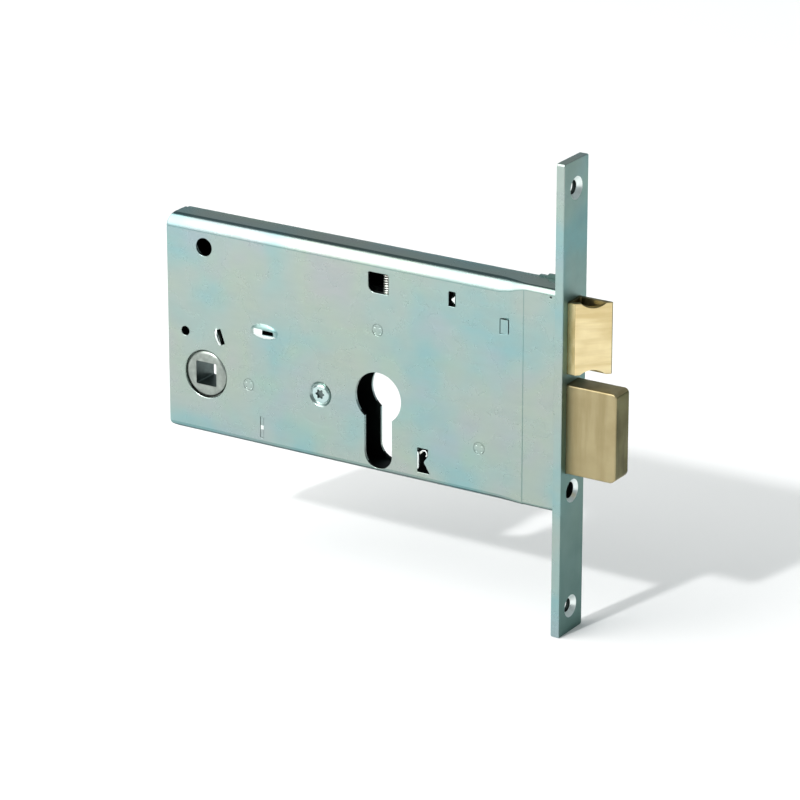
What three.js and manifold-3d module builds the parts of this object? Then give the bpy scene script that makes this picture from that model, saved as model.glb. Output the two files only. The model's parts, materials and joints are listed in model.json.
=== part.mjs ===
// Narrow-stile mortise lock: long pressed-steel case on a slim forend, sprung bevelled latch bolt,
// square deadbolt, lever follower at the far end of the case and a keyhole for a profile cylinder.
// Millimetres. +X leaves the forend, +Z is up, the front of the case faces -Y. The origin is on the
// outer face of the forend, in the middle of the web between the two bolt openings.

import * as THREE from 'three';
import { mergeVertices } from 'three/addons/utils/BufferGeometryUtils.js';
import Module from 'manifold-3d';

const wasm = await Module();
wasm.setup();

// ---------------------------------------------------------------- driving dimensions

const FOREND = { thick: 3, width: 15, top: 71.9, bottom: -88.1 };
const FOREND_SCREWS = { topZ: 62.5, bottomZ: -79.2, radius: 2.3, sinkRadius: 4.2 };
const CYLINDER_SCREW = { z: -39.1, radius: 2.7, sinkRadius: 3.9 };

const CASE = { back: -153, front: -3, top: 29.4, bottom: -45.6, thick: 11, sheet: 1 };
const CASE_BEND = { top: 4.2, bottom: 2.0, noseTop: 2.8, noseBottom: 1.2, corner: 2.4 };
const JOGGLE = { x: -15.5, depth: 0.25 };

const BACKSET = 70;
const CYLINDER = { z: -19.6, radius: 8.75, slotWidth: 10.5, slotZ: -39.0, camRadius: 15.5 };
const FOLLOWER = { x: -138, z: -24.35, journal: 8.18, hub: 10.2, square: 8, armLength: 20, armLean: 16.55 };
const ROSE_HOLE = { x: -138, z: 20.2, radius: 3.1 };
const PILOT_HOLE = { x: -146, z: -10.5, radius: 1.6 };
const COVER_SCREW = { x: -92.5, z: -22.6, head: 3.3, shank: 1.9, dish: 4.3, seatDepth: 0.8 };

const BOLT_THICK = 8.4;
const DEADBOLT = { throw: 18, tail: -8, bottom: -32, top: -1.8, corner: 2.2, edge: 0.9 };
const LATCH = { reach: 11.6, tail: -8.8, bottom: 1.8, top: 25.8, bevelStart: 2.6 };
const BOLT_CLEARANCE = 0.3;
const WEB_HALF = 1.5;

const POST_RADIUS = 2;
const POSTS = {
  bolt_guide_post: { x: -70.2, z: 3.9 },
  bolt_front_post: { x: -31.6, z: -29.3 },
  spring_post: { x: -120.8, z: -24.8 },
};
const TUMBLER_POST = { x: -100, z: 3.9 };

const TAIL_THICK = 2;
const LINK = { front: 1.4, thick: 1.7, bottom: 11, top: 16 };
const TUMBLER = { front: -3.6, thick: 1.5, top: 16, drop: 2.5 };
const STUMP = { x: -60, z: 8.5, radius: 1.6 };
const LATCH_AXIS_Z = 13.8;
const LINK_PIN = { x: -60, radius: 1.3, head: 2.1 };
const BOLT_RIVET_RADIUS = 1.8;
const LATCH_RIVET_X = -4.6;
const DEADBOLT_RIVETS = { x: -4.3, upperZ: -9.5, lowerZ: -24.5 };
const SPRING_SEAT = { x: -42.1, thick: 1.2 };
const LATCH_GUIDE = { x: -24, thick: 3, top: 25.4 };
const TUMBLER_SPRING = { x: -67.5, y: -2.75, mean: 1.4, wire: 0.5, pitch: 1.3, headroom: 2.6 };
const WINDOW = { left: -73.7, right: -65.9, bottom: 16.5, top: 23.4 };

// ---------------------------------------------------------------- derived sizes

const yFace = -CASE.thick / 2;
const yInner = yFace + CASE.sheet;
const yRear = CASE.thick / 2;
const yRearInner = yRear - CASE.sheet;
const boltHalf = BOLT_THICK / 2;
const running = 0.05;

// ---------------------------------------------------------------- materials

function metal(color, roughness, metalness = 1) {
  return new THREE.MeshStandardMaterial({ color, roughness, metalness });
}

const zinc = metal(0xa5bbb9, 0.35);
const forendZinc = metal(0x8fa9a6, 0.32);
const brass = metal(0xc9b380, 0.38);
const nickelBrass = metal(0x948b67, 0.45);
const zamak = metal(0x969f95, 0.42);
const blankSteel = metal(0x8d9296, 0.4);
const springSteel = metal(0xb9b9b0, 0.3);
const screwSteel = metal(0x9fb8b2, 0.3);

// ---------------------------------------------------------------- outlines

const STEP = Math.PI / 12;

function arc(cx, cy, radius, from, to, step = STEP) {
  const count = Math.max(2, Math.ceil(Math.abs(to - from) / step - 1e-6));
  return Array.from({ length: count + 1 }, (_, i) => {
    const angle = from + ((to - from) * i) / count;
    return new THREE.Vector2(cx + radius * Math.cos(angle), cy + radius * Math.sin(angle));
  });
}

function circle(cx, cy, radius, sides = 32) {
  return arc(cx, cy, radius, 0, 2 * Math.PI, (2 * Math.PI) / sides).slice(0, -1);
}

function rectangle(x0, x1, z0, z1, radius = 0) {
  return rounded([[x0, z0, radius], [x1, z0, radius], [x1, z1, radius], [x0, z1, radius]]);
}

// Corner list [x, y, fillet radius] to points, each fillet an arc tangent to both of its sides.
function rounded(corners) {
  return corners.flatMap(([x, y, radius = 0], i) => {
    const here = new THREE.Vector2(x, y);
    if (radius === 0) return [here];
    const toBefore = new THREE.Vector2(...corners.at(i - 1).slice(0, 2)).sub(here).normalize();
    const after = corners[(i + 1) % corners.length];
    const toAfter = new THREE.Vector2(...after.slice(0, 2)).sub(here).normalize();
    const half = Math.acos(toBefore.dot(toAfter)) / 2;
    const centre = toBefore.clone().add(toAfter).setLength(radius / Math.sin(half)).add(here);
    const reach = radius / Math.tan(half);
    const start = toBefore.clone().multiplyScalar(reach).add(here).sub(centre).angle();
    let end = toAfter.clone().multiplyScalar(reach).add(here).sub(centre).angle();
    if (end - start > Math.PI) end -= 2 * Math.PI;
    if (start - end > Math.PI) end += 2 * Math.PI;
    return arc(centre.x, centre.y, radius, start, end);
  });
}

function shapeOf(points, holes = []) {
  const shape = new THREE.Shape(points);
  shape.holes = holes.map((hole) => new THREE.Path(hole));
  return shape;
}

// ---------------------------------------------------------------- solids

function solid(geometry) {
  const bare = geometry.clone();
  bare.deleteAttribute('normal');
  bare.deleteAttribute('uv');
  const merged = mergeVertices(bare, 1e-4);
  return new wasm.Manifold(new wasm.Mesh({
    numProp: 3,
    vertProperties: new Float32Array(merged.attributes.position.array),
    triVerts: new Uint32Array(merged.index.array),
  }));
}

function extruded(points, depth, holes = []) {
  return new THREE.ExtrudeGeometry(shapeOf(points, holes), { depth, bevelEnabled: false });
}

// Outline in x and z, standing between two y planes.
function plateY(points, y0, y1, holes = []) {
  return solid(extruded(points, y1 - y0, holes).rotateX(Math.PI / 2).translate(0, y1, 0));
}

// Outline in x and y, standing between two z planes.
function plateZ(points, z0, z1) {
  return solid(extruded(points, z1 - z0).translate(0, 0, z0));
}

// Outline in y and z, standing between two x planes.
function plateX(points, x0, x1, holes = []) {
  const toX = new THREE.Matrix4().set(0, 0, 1, x0, 1, 0, 0, 0, 0, 1, 0, 0, 0, 0, 0, 1);
  return solid(extruded(points, x1 - x0, holes).applyMatrix4(toX));
}

function box(x0, x1, y0, y1, z0, z1) {
  const block = new THREE.BoxGeometry(x1 - x0, y1 - y0, z1 - z0);
  return solid(block.translate((x0 + x1) / 2, (y0 + y1) / 2, (z0 + z1) / 2));
}

function rodY(x, z, radius, y0, y1, sides = 24) {
  return plateY(circle(x, z, radius, sides), y0, y1);
}

// Cone frustum about an axis along X, from radius0 at x0 to radius1 at x1.
function coneX(y, z, radius0, radius1, x0, x1) {
  const cone = new THREE.CylinderGeometry(radius1, radius0, x1 - x0, 32);
  return solid(cone.rotateZ(-Math.PI / 2).translate((x0 + x1) / 2, y, z));
}

// Cone frustum about an axis along Y, from radius0 at y0 to radius1 at y1.
function coneY(x, z, radius0, radius1, y0, y1, sides = 32) {
  const cone = new THREE.CylinderGeometry(radius1, radius0, y1 - y0, sides);
  return solid(cone.translate(x, (y0 + y1) / 2, z));
}

function join(...bodies) {
  return bodies.reduce((whole, body) => whole.add(body));
}

function cut(body, ...tools) {
  return tools.reduce((rest, tool) => rest.subtract(tool), body);
}

// Round wire of the given diameter along a curve, closed at both ends.
function wire(curve, diameter, steps, sides = 5) {
  const section = new THREE.Shape(circle(0, 0, diameter / 2, sides));
  return new THREE.ExtrudeGeometry(section, { steps, bevelEnabled: false, extrudePath: curve });
}

class Helix extends THREE.Curve {
  constructor(radius, length, turns) {
    super();
    Object.assign(this, { radius, length, turns });
  }

  getPoint(t, target = new THREE.Vector3()) {
    const angle = 2 * Math.PI * this.turns * t;
    return target.set(this.radius * Math.cos(angle), this.radius * Math.sin(angle), this.length * t);
  }

  // The wire is swept at even steps of the helix's own parameter.
  getPointAt(t, target) {
    return this.getPoint(t, target);
  }
}

function named(name, shape, material) {
  let geometry = shape;
  if (!shape.isBufferGeometry) {
    const { vertProperties, triVerts } = shape.getMesh();
    geometry = new THREE.BufferGeometry();
    geometry.setAttribute('position', new THREE.BufferAttribute(vertProperties, 3));
    geometry.setIndex(new THREE.BufferAttribute(triVerts, 1));
  }
  geometry.computeVertexNormals();
  const mesh = new THREE.Mesh(geometry, material);
  mesh.name = name;
  return mesh;
}

// ---------------------------------------------------------------- case

function keyhole() {
  const neck = CYLINDER.slotWidth / 2;
  const spread = Math.asin(neck / CYLINDER.radius);
  const down = -Math.PI / 2;
  return [
    ...arc(-BACKSET, CYLINDER.z, CYLINDER.radius, down + spread, down + 2 * Math.PI - spread),
    ...arc(-BACKSET, CYLINDER.slotZ, neck, -Math.PI, 0),
  ];
}

const cSlot = rectangle(-43.3, -40.7, 17.1, 22.1, 0.4);
const tenonSlot = rectangle(-24, -21, 11.4, 16.4);
const clipSlot = rounded([[-55, -42.2], [-50.2, -42.2], [-52.6, -38.4], [-50.9, -36], [-50.9, -33.7],
  [-55, -33.7, 0.3]]);
const windowHole = rounded([[WINDOW.left, WINDOW.bottom, 2.6], [WINDOW.right, WINDOW.bottom, 0.5],
  [WINDOW.right, WINDOW.top, 0.8], [WINDOW.left, WINDOW.top, 0.5]]);
const slantedSlit = rounded([[-133.2, -7.9], [-131.4, -12.9], [-130.2, -12.3], [-132.0, -7.3]]);
const anchorSlit = rectangle(-116.4, -115, -42.8, -35.2, 0.3);

function sharedCutOuts() {
  return [
    keyhole(),
    circle(FOLLOWER.x, FOLLOWER.z, FOLLOWER.journal + 0.07, 64),
    circle(ROSE_HOLE.x, ROSE_HOLE.z, ROSE_HOLE.radius, 24),
    circle(PILOT_HOLE.x, PILOT_HOLE.z, PILOT_HOLE.radius, 20),
    cSlot,
    tenonSlot,
    clipSlot,
    ...Object.values(POSTS).map(({ x, z }) => circle(x, z, POST_RADIUS + running, 24)),
  ];
}

// Channel section of the case: front face with a top and a bottom flange, both corners bent.
function channel(face, topBend, bottomBend) {
  const t = CASE.sheet;
  return rounded([
    [yRearInner, CASE.bottom],
    [face, CASE.bottom, bottomBend],
    [face, CASE.top, topBend],
    [yRearInner, CASE.top],
    [yRearInner, CASE.top - t],
    [face + t, CASE.top - t, Math.max(topBend - t, 0.2)],
    [face + t, CASE.bottom + t, Math.max(bottomBend - t, 0.2)],
    [yRearInner, CASE.bottom + t],
  ]);
}

// Stamped vent-like lug on the face: a low dome, open along its lower edge.
function faceLug() {
  const dome = new THREE.SphereGeometry(1, 16, 10);
  const outer = solid(dome.clone().scale(5.3, 1.0, 2.6).translate(-114.3, yFace + 0.1, -4.6));
  const inner = solid(dome.clone().scale(4.3, 0.6, 1.9).translate(-114.3, yFace + 0.1, -4.6));
  const front = box(-120, -108, yFace - 1, yInner - 0.2, -8, -1);
  const mouth = box(-116.6, -110.4, yFace - 1.2, yFace + 0.1, -7.6, -5.6);
  return { lug: cut(outer.intersect(front), inner, mouth), hollow: join(inner, mouth) };
}

function caseShell() {
  const main = plateX(channel(yFace, CASE_BEND.top, CASE_BEND.bottom), CASE.back, JOGGLE.x);
  const nose = plateX(
    channel(yFace + JOGGLE.depth, CASE_BEND.noseTop, CASE_BEND.noseBottom), JOGGLE.x, CASE.front);
  const cutOuts = [...sharedCutOuts(), windowHole, slantedSlit, anchorSlit];
  const punches = cutOuts.map((hole) => plateY(hole, yFace - 1, yInner + 1));
  const corner = cut(
    box(CASE.back - 1, CASE.back + CASE_BEND.corner, yFace - 1, yInner + 0.5,
      CASE.bottom - 1, CASE.bottom + CASE_BEND.corner),
    rodY(CASE.back + CASE_BEND.corner, CASE.bottom + CASE_BEND.corner, CASE_BEND.corner,
      yFace - 2, yInner + 2, 48));
  const { x, z, dish, shank, seatDepth } = COVER_SCREW;
  const seat = coneY(x, z, dish, dish - seatDepth, yFace, yFace + seatDepth);
  const boss = rodY(x, z, dish + 0.3, yInner, yInner + seatDepth, 32);
  const anchorTab = box(-117.6, -116.4, yInner - 0.3, -0.8, -42.4, -35.6);
  const slitLip = plateY(
    rounded([[-133.9, -8.2], [-132.1, -13.1], [-131.5, -12.8], [-133.3, -7.9]]), yFace - 0.5, yFace);
  const { lug, hollow } = faceLug();
  const sheet = cut(join(main, nose), hollow, ...punches, corner);
  const dressed = join(sheet, boss, anchorTab, slitLip, lug);
  return cut(dressed, seat, rodY(x, z, shank + 0.3, yFace - 1, yInner + 2));
}

function backCover() {
  const { back, front, top, bottom } = CASE;
  const edge = rounded([
    [back, bottom, CASE_BEND.corner], [front, bottom], [front, top + 1.3], [-8.9, top + 1.3, 0.3],
    [-8.9, top + 0.6], [-12, top + 0.6, 0.3], [-12, top], [back, top],
  ]);
  const holes = [
    ...sharedCutOuts(),
    circle(COVER_SCREW.x, COVER_SCREW.z, 2.6 + running, 24),
    circle(TUMBLER_POST.x, TUMBLER_POST.z, POST_RADIUS + running, 24),
  ];
  const plate = plateY(edge, yRearInner, yRear, holes);
  const chamfer = CASE_BEND.top - CASE.sheet + 0.2;
  const y0 = yInner + 0.1;
  const z0 = bottom + CASE.sheet + 0.1;
  const z1 = top - CASE.sheet - 0.1;
  const flange = plateX([
    [yRearInner, z0], [yRearInner, z1], [y0 + chamfer, z1], [y0, z1 - chamfer],
    [y0, z0 + chamfer], [y0 + chamfer, z0],
  ].map(([y, z]) => new THREE.Vector2(y, z)), back, back + CASE.sheet);
  return join(plate, flange);
}

function forend() {
  const half = FOREND.width / 2;
  const opening = boltHalf + BOLT_CLEARANCE;
  const strip = plateX(
    rectangle(-half, half, FOREND.bottom, FOREND.top, 0.6), -FOREND.thick, 0,
    [
      rectangle(-opening, opening, WEB_HALF, LATCH.top + BOLT_CLEARANCE),
      rectangle(-opening, opening, DEADBOLT.bottom - BOLT_CLEARANCE, -WEB_HALF),
    ]);
  const fixings = [
    [FOREND_SCREWS.topZ, FOREND_SCREWS.radius, FOREND_SCREWS.sinkRadius],
    [FOREND_SCREWS.bottomZ, FOREND_SCREWS.radius, FOREND_SCREWS.sinkRadius],
    [CYLINDER_SCREW.z, CYLINDER_SCREW.radius, CYLINDER_SCREW.sinkRadius],
  ];
  const drilled = fixings.flatMap(([z, radius, sink]) => [
    coneX(0, z, radius, radius, -FOREND.thick - 1, 1),
    coneX(0, z, radius, sink + 0.2, -(sink - radius), 0.2),
  ]);
  return cut(strip, ...drilled);
}

// ---------------------------------------------------------------- screw, pillar and posts

function screwStar(radius) {
  const lobes = 6;
  return Array.from({ length: lobes * 4 }, (_, i) => {
    const angle = (2 * Math.PI * i) / (lobes * 4);
    const reach = radius * (0.86 + 0.14 * Math.cos(lobes * angle));
    return new THREE.Vector2(reach * Math.cos(angle), reach * Math.sin(angle));
  });
}

// Built about its own axis, head outwards at -Y; y = 0 is the underside of the head.
function coverScrew() {
  const { head, shank } = COVER_SCREW;
  const crownTop = -0.95;
  const rimTop = -0.6;
  const length = 8.5;
  const profile = [
    [0, crownTop], [head - 0.6, crownTop], [head, rimTop], [head, 0], [shank, 0], [shank, length],
    [0, length],
  ].map(([radius, y]) => new THREE.Vector2(radius, y));
  const turned = solid(new THREE.LatheGeometry(profile, 32));
  return cut(turned, plateY(screwStar(1.6), crownTop - 0.25, -0.2));
}

// Spacer that the cover screw threads into, riveted to the back cover.
function screwPillar() {
  const body = rodY(0, 0, 4, yInner + COVER_SCREW.seatDepth, yRearInner);
  const spigot = rodY(0, 0, 2.6, yRearInner, yRear);
  return cut(join(body, spigot), rodY(0, 0, COVER_SCREW.shank + running, yInner, yRear + 1));
}

function at(mesh, x, z, y = 0) {
  mesh.position.set(x, y, z);
  return mesh;
}

// ---------------------------------------------------------------- fixed brackets

// Plate behind the latch head. The latch tail runs through it and its tenons show in both faces.
function latchGuide() {
  const { x, thick, top } = LATCH_GUIDE;
  const plate = box(x, x + thick, yInner + 0.1, yRearInner - 0.1, WEB_HALF, top);
  const tenon = box(x + 0.1, x + thick - 0.1, yFace, yRear, 11.5, 16.3);
  return cut(join(plate, tenon), box(x - 1, x + thick + 1, -1.25, 1.25, 11.5, 16.1));
}

// Bracket that the latch spring pushes against, hooked into the small slots of the case.
function springSeat() {
  const { x, thick } = SPRING_SEAT;
  const plate = box(x, x + thick, yInner + 0.1, yRearInner - 0.1, 8, 21.5);
  const tab = box(x, x + thick, yFace + 0.1, yRear - 0.1, 18.4, 20.5);
  return cut(join(plate, tab), box(x - 1, x + thick + 1, -1.25, 1.25, 11.5, 16.1));
}

// Bent strip that presses up under the deadbolt's tail and keeps it from rattling.
function boltLeafSpring() {
  const strip = [[-54.2, -35.4], [-53.2, -34.6], [-51.4, -36.2], [-40.6, -27.8], [-37.4, -27.4]];
  const lower = strip.map(([x, z]) => [x + 0.25, z - 0.5]).reverse();
  const leaf = plateY([...strip, ...lower].map(([x, z]) => new THREE.Vector2(x, z)), -3.6, 3.6);
  const hook = plateY(rounded([[-54.2, -35.4], [-53.2, -34.6], [-52.95, -35.1], [-53.95, -35.9]]),
    yFace + 0.1, -3.6);
  return join(leaf, hook);
}

// ---------------------------------------------------------------- latch bolt

// Holds a bolt head on its tail, flush with both of the head's faces; built about its own axis.
function boltRivet() {
  return rodY(0, 0, BOLT_RIVET_RADIUS, -boltHalf, boltHalf);
}

function latchHead() {
  const { tail, reach, bevelStart, bottom, top } = LATCH;
  const wall = 1.5;
  const tip = 0.8;
  const wedge = [
    [tail, -boltHalf], [bevelStart, -boltHalf], [reach, boltHalf - tip], [reach, boltHalf],
    [tail, boltHalf],
  ].map(([x, y]) => new THREE.Vector2(x, y));
  const slope = Math.atan2(2 * boltHalf - tip, reach - bevelStart);
  const inset = wall / Math.sin(slope);
  const backWall = boltHalf - wall;
  const pocketFront = -boltHalf + wall;
  const pocket = [
    [0.6, pocketFront], [bevelStart - inset + wall / Math.tan(slope), pocketFront],
    [reach - inset - (tip + wall) / Math.tan(slope) + 0.4, backWall], [0.6, backWall],
  ].map(([x, y]) => new THREE.Vector2(x, y));
  const depth = 7;
  const middle = new THREE.Vector2((bevelStart + reach) / 2, -tip / 2);
  const scoopRadius = 6;
  const scoop = (z) => {
    const disc = new THREE.CylinderGeometry(scoopRadius, scoopRadius, 5, 40);
    return solid(disc.rotateZ(slope).translate(middle.x, middle.y, z));
  };
  const lift = scoopRadius - 1.7;
  const keepBack = box(tail, reach + 1, backWall, boltHalf + 1, bottom - 2, top + 2);
  const scoops = cut(join(scoop(top + lift), scoop(bottom - lift)), keepBack);
  const tailSlot = box(tail - 1, -0.7, -1.05, 1.05, bottom - 1, top + 1);
  return cut(
    plateZ(wedge, bottom, top),
    plateZ(pocket, top - depth, top + 1), plateZ(pocket, bottom - 1, bottom + depth),
    scoops, tailSlot, rodY(LATCH_RIVET_X, LATCH_AXIS_Z, BOLT_RIVET_RADIUS + running, -6, 6));
}

function latchTail() {
  const z = LATCH_AXIS_Z;
  const bar = rounded([
    [-63.5, z - 2, 1.4], [-25.4, z - 2], [-25.4, z - 4, 0.4], [-24.2, z - 4, 0.4], [-24.2, z - 2],
    [-0.8, z - 2], [-0.8, z + 2], [-24.2, z + 2], [-24.2, z + 4, 0.4], [-25.4, z + 4, 0.4],
    [-25.4, z + 2], [-63.5, z + 2, 1.4],
  ]);
  return plateY(bar, -TAIL_THICK / 2, TAIL_THICK / 2, [
    circle(LATCH_RIVET_X, z, BOLT_RIVET_RADIUS + running, 24),
    circle(LINK_PIN.x, z, LINK_PIN.radius + running, 20),
  ]);
}

function latchSpring() {
  const left = SPRING_SEAT.x + SPRING_SEAT.thick + 0.45;
  const right = -25.4 - 0.45;
  const coil = wire(new Helix(3.1, right - left, 5), 0.7, 70);
  return coil.rotateY(Math.PI / 2).translate(left, 0, LATCH_AXIS_Z);
}

// ---------------------------------------------------------------- pull link from follower to latch

function latchLink() {
  const { bottom, top, front, thick } = LINK;
  const armTop = -0.6;
  const forkEnd = -8;
  const fork = 3;
  const wall = 2.6;
  const x = FOLLOWER.x + direction(90 - FOLLOWER.armLean, FOLLOWER.armLength)[0];
  const left = x - fork - wall;
  const right = x + fork + wall;
  const bar = rounded([
    [left, forkEnd, 0.8], [x - fork, forkEnd, 0.6], [x - fork, armTop, 2.4], [x + fork, armTop, 2.4],
    [x + fork, forkEnd, 0.6], [right, forkEnd, 0.8], [right, bottom - 3], [right + 4, bottom, 2],
    [-84, bottom], [-84, -8.5, 0.8], [-79, -8.5, 0.8], [-79, bottom, 1],
    [-57, bottom, 1.8], [-57, top, 1.8], [left + 4, top], [left, top - 4],
  ]);
  const pinHole = circle(LINK_PIN.x, LATCH_AXIS_Z, LINK_PIN.radius + running, 20);
  return plateY(bar, front, front + thick, [pinHole]);
}

function linkPin() {
  const { radius, head } = LINK_PIN;
  const back = LINK.front + LINK.thick;
  const shank = rodY(0, 0, radius, -1.6, back + 0.3, 20);
  const heads = [[-1.6, -1.1], [back + 0.1, back + 0.6]].map((ends) => rodY(0, 0, head, ...ends, 20));
  return join(shank, ...heads);
}

// ---------------------------------------------------------------- follower and its return spring

function direction(degrees, length) {
  const angle = THREE.MathUtils.degToRad(degrees);
  return [length * Math.cos(angle), length * Math.sin(angle)];
}

// Built about its own axis.
function followerHub() {
  const { journal, hub, square, armLength, armLean } = FOLLOWER;
  const core = rodY(0, 0, hub, yInner + 0.15, yRearInner - 0.15, 48);
  const ends = rodY(0, 0, journal, yFace, yRear, 64);
  const half = 3.4;
  const upright = plateY(rectangle(-1.6, 1.6, 8, armLength), -half, half);
  const arm = join(upright, rodY(0, armLength, 2.4, -half, half)).rotate([0, armLean, 0]);
  const [noseX, noseZ] = direction(-92, 14.5);
  const nose = rodY(noseX, noseZ, 2, -half, half);
  const neck = plateY(rectangle(noseX - 1.7, noseX + 1.7, noseZ, -8), -half, half);
  const side = square / 2 + running;
  const spindleHole = plateY(rectangle(-side, side, -side, side, 0.3), yFace - 1, yRear + 1);
  return cut(join(core, ends, arm, nose, neck), spindleHole);
}

// Torsion spring on its post: one leg against the case's anchor tab, one against the follower.
class TorsionSpring extends THREE.Curve {
  constructor() {
    super();
    this.radius = 3;
    this.sweep = 2 * Math.PI * 3 + THREE.MathUtils.degToRad(143);
    this.rise = 3.2;
    this.legs = [13.4, 21.8];
  }

  getPoint(t, target = new THREE.Vector3()) {
    const { radius, sweep, rise, legs } = this;
    const coil = radius * sweep;
    const along = t * (legs[0] + coil + legs[1]) - legs[0];
    const angle = THREE.MathUtils.clamp(along / radius, 0, sweep);
    const past = along - angle * radius;
    const lean = past < 0 ? 0.03 : 0;
    const forward = new THREE.Vector2(-Math.sin(angle) + lean, Math.cos(angle)).normalize();
    return target.set(
      radius * Math.cos(angle) + past * forward.x,
      (rise * angle) / sweep - rise / 2,
      radius * Math.sin(angle) + past * forward.y);
  }

  getPointAt(t, target) {
    return this.getPoint(t, target);
  }
}

// ---------------------------------------------------------------- deadbolt

function deadboltHead() {
  const { tail, bottom, top, corner, edge } = DEADBOLT;
  const face = plateY(
    rounded([[tail, bottom], [DEADBOLT.throw, bottom, corner], [DEADBOLT.throw, top, corner],
      [tail, top]]),
    -boltHalf, boltHalf);
  const plan = plateZ(
    rounded([[tail, -boltHalf], [DEADBOLT.throw, -boltHalf, edge],
      [DEADBOLT.throw, boltHalf, edge], [tail, boltHalf]]),
    bottom - 1, top + 1);
  const { x, upperZ, lowerZ } = DEADBOLT_RIVETS;
  const rivetHoles = [upperZ, lowerZ].map((z) => rodY(x, z, BOLT_RIVET_RADIUS + running, -6, 6));
  const tailSlot = box(tail - 1, -0.3, -1.05, 1.05, bottom - 1, top + 1);
  return cut(face.intersect(plan), tailSlot, ...rivetHoles);
}

function deadboltTail() {
  const plate = rounded([
    [-35.6, -26.9], [-8.2, -26.9], [-8.2, -31.4, 0.6], [-0.5, -31.4], [-0.5, -2.4], [-29, -2.4],
    [-29, 6.5], [-55, 6.5], [-56.5, 10.6, 0.8], [-104, 10.6, 1.5], [-104, -3.5, 1.5], [-70, -3.5],
    [-69, -9.5, 0.8], [-65.5, -9.5, 0.8], [-65.5, -3.5, 0.6], [-56.5, -3.5, 0.6],
    [-56.5, -9.5, 0.8], [-53, -9.5, 0.8], [-52, -3.5], [-35.6, -3.5],
  ]);
  const guideSlot = rectangle(-102.2, -50, 1.7, 6.1, 2);
  return plateY(plate, -TAIL_THICK / 2, TAIL_THICK / 2, [
    guideSlot,
    circle(STUMP.x, STUMP.z, STUMP.radius + running, 20),
    circle(DEADBOLT_RIVETS.x, DEADBOLT_RIVETS.upperZ, BOLT_RIVET_RADIUS + running, 24),
    circle(DEADBOLT_RIVETS.x, DEADBOLT_RIVETS.lowerZ, BOLT_RIVET_RADIUS + running, 24),
  ]);
}

// ---------------------------------------------------------------- tumbler and its spring

// The gate: two pockets a full throw apart, above the channel that the stump travels in. When the
// tumbler drops, the tooth between the pockets comes down beside the stump and holds the deadbolt.
function tumblerPlate() {
  const { top, drop, front, thick } = TUMBLER;
  const reach = 1.9;
  const low = STUMP.z - reach;
  const high = STUMP.z + reach;
  const pocketTop = high + drop + 0.2;
  const edges = [STUMP.x + reach, STUMP.x - reach].map((x) => [x, x - DEADBOLT.throw]);
  const [[right, farRight], [inner, farInner]] = edges;
  const gate = [
    [farInner, low], [right, low], [right, pocketTop], [inner, pocketTop], [inner, high],
    [farRight, high], [farRight, pocketTop], [farInner, pocketTop],
  ].map(([x, z]) => new THREE.Vector2(x, z));
  const camTop = CYLINDER.z + CYLINDER.camRadius;
  const outline = rounded([
    [-104, -1, 1], [-84, -1], [-80, camTop, 1], [-60, camTop, 1], [-56, -1], [-52, -1, 1],
    [-52, top - 2], [-56, top], [-66.8, top], [-66.8, top + 3, 0.4], [-68.2, top + 3, 0.4],
    [-68.2, top], [-98, top], [-104, top - 5],
  ]);
  const guides = [POSTS.bolt_guide_post, TUMBLER_POST].map(({ x, z }) => plateY(
    rectangle(x - 2.2, x + 2.2, z - 2.2, z + drop + 2.2, 2.1), front - 1, front + thick + 1));
  return cut(plateY(outline, front, front + thick), plateY(gate, front - 1, 0), ...guides);
}

function tumblerSpring() {
  const { x, y, mean, wire: thickness, pitch, headroom } = TUMBLER_SPRING;
  const bottom = TUMBLER.top + thickness / 2 + running;
  const length = CASE.top - CASE.sheet - headroom - bottom;
  const turns = Math.round(length / pitch);
  return wire(new Helix(mean, length, turns), thickness, turns * 13).translate(x, y, bottom);
}

// ---------------------------------------------------------------- assembly

const lock = new THREE.Group();

const fixed = new THREE.Group();
fixed.add(
  named('case_shell', caseShell(), zinc),
  named('back_cover', backCover(), zinc),
  named('forend', forend(), forendZinc),
  at(named('cover_screw', coverScrew(), screwSteel),
    COVER_SCREW.x, COVER_SCREW.z, yFace + COVER_SCREW.seatDepth),
  at(named('screw_pillar', screwPillar(), blankSteel), COVER_SCREW.x, COVER_SCREW.z),
  named('latch_guide', latchGuide(), zinc),
  named('spring_seat', springSeat(), blankSteel),
  named('bolt_leaf_spring', boltLeafSpring(), springSteel),
);
for (const [name, { x, z }] of Object.entries(POSTS)) {
  fixed.add(at(named(name, rodY(0, 0, POST_RADIUS, yFace, yRear), blankSteel), x, z));
}
const tumblerPost = named('tumbler_post', rodY(0, 0, POST_RADIUS, -4.2, yRear), blankSteel);
fixed.add(at(tumblerPost, TUMBLER_POST.x, TUMBLER_POST.z));

const latch = new THREE.Group();
latch.add(
  named('latch_head', latchHead(), brass),
  named('latch_tail', latchTail(), blankSteel),
  at(named('latch_rivet', boltRivet(), blankSteel), LATCH_RIVET_X, LATCH_AXIS_Z),
);

const link = new THREE.Group();
link.add(
  named('latch_link', latchLink(), blankSteel),
  at(named('link_pin', linkPin(), blankSteel), LINK_PIN.x, LATCH_AXIS_Z),
);

const follower = new THREE.Group();
follower.position.set(FOLLOWER.x, 0, FOLLOWER.z);
follower.add(named('follower', followerHub(), zamak));

const followerSpring = named('follower_spring', wire(new TorsionSpring(), 0.8, 110), springSteel);
const springs = new THREE.Group();
springs.add(
  at(followerSpring, POSTS.spring_post.x, POSTS.spring_post.z),
  named('latch_spring', latchSpring(), springSteel),
  named('tumbler_spring', tumblerSpring(), springSteel),
);

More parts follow.
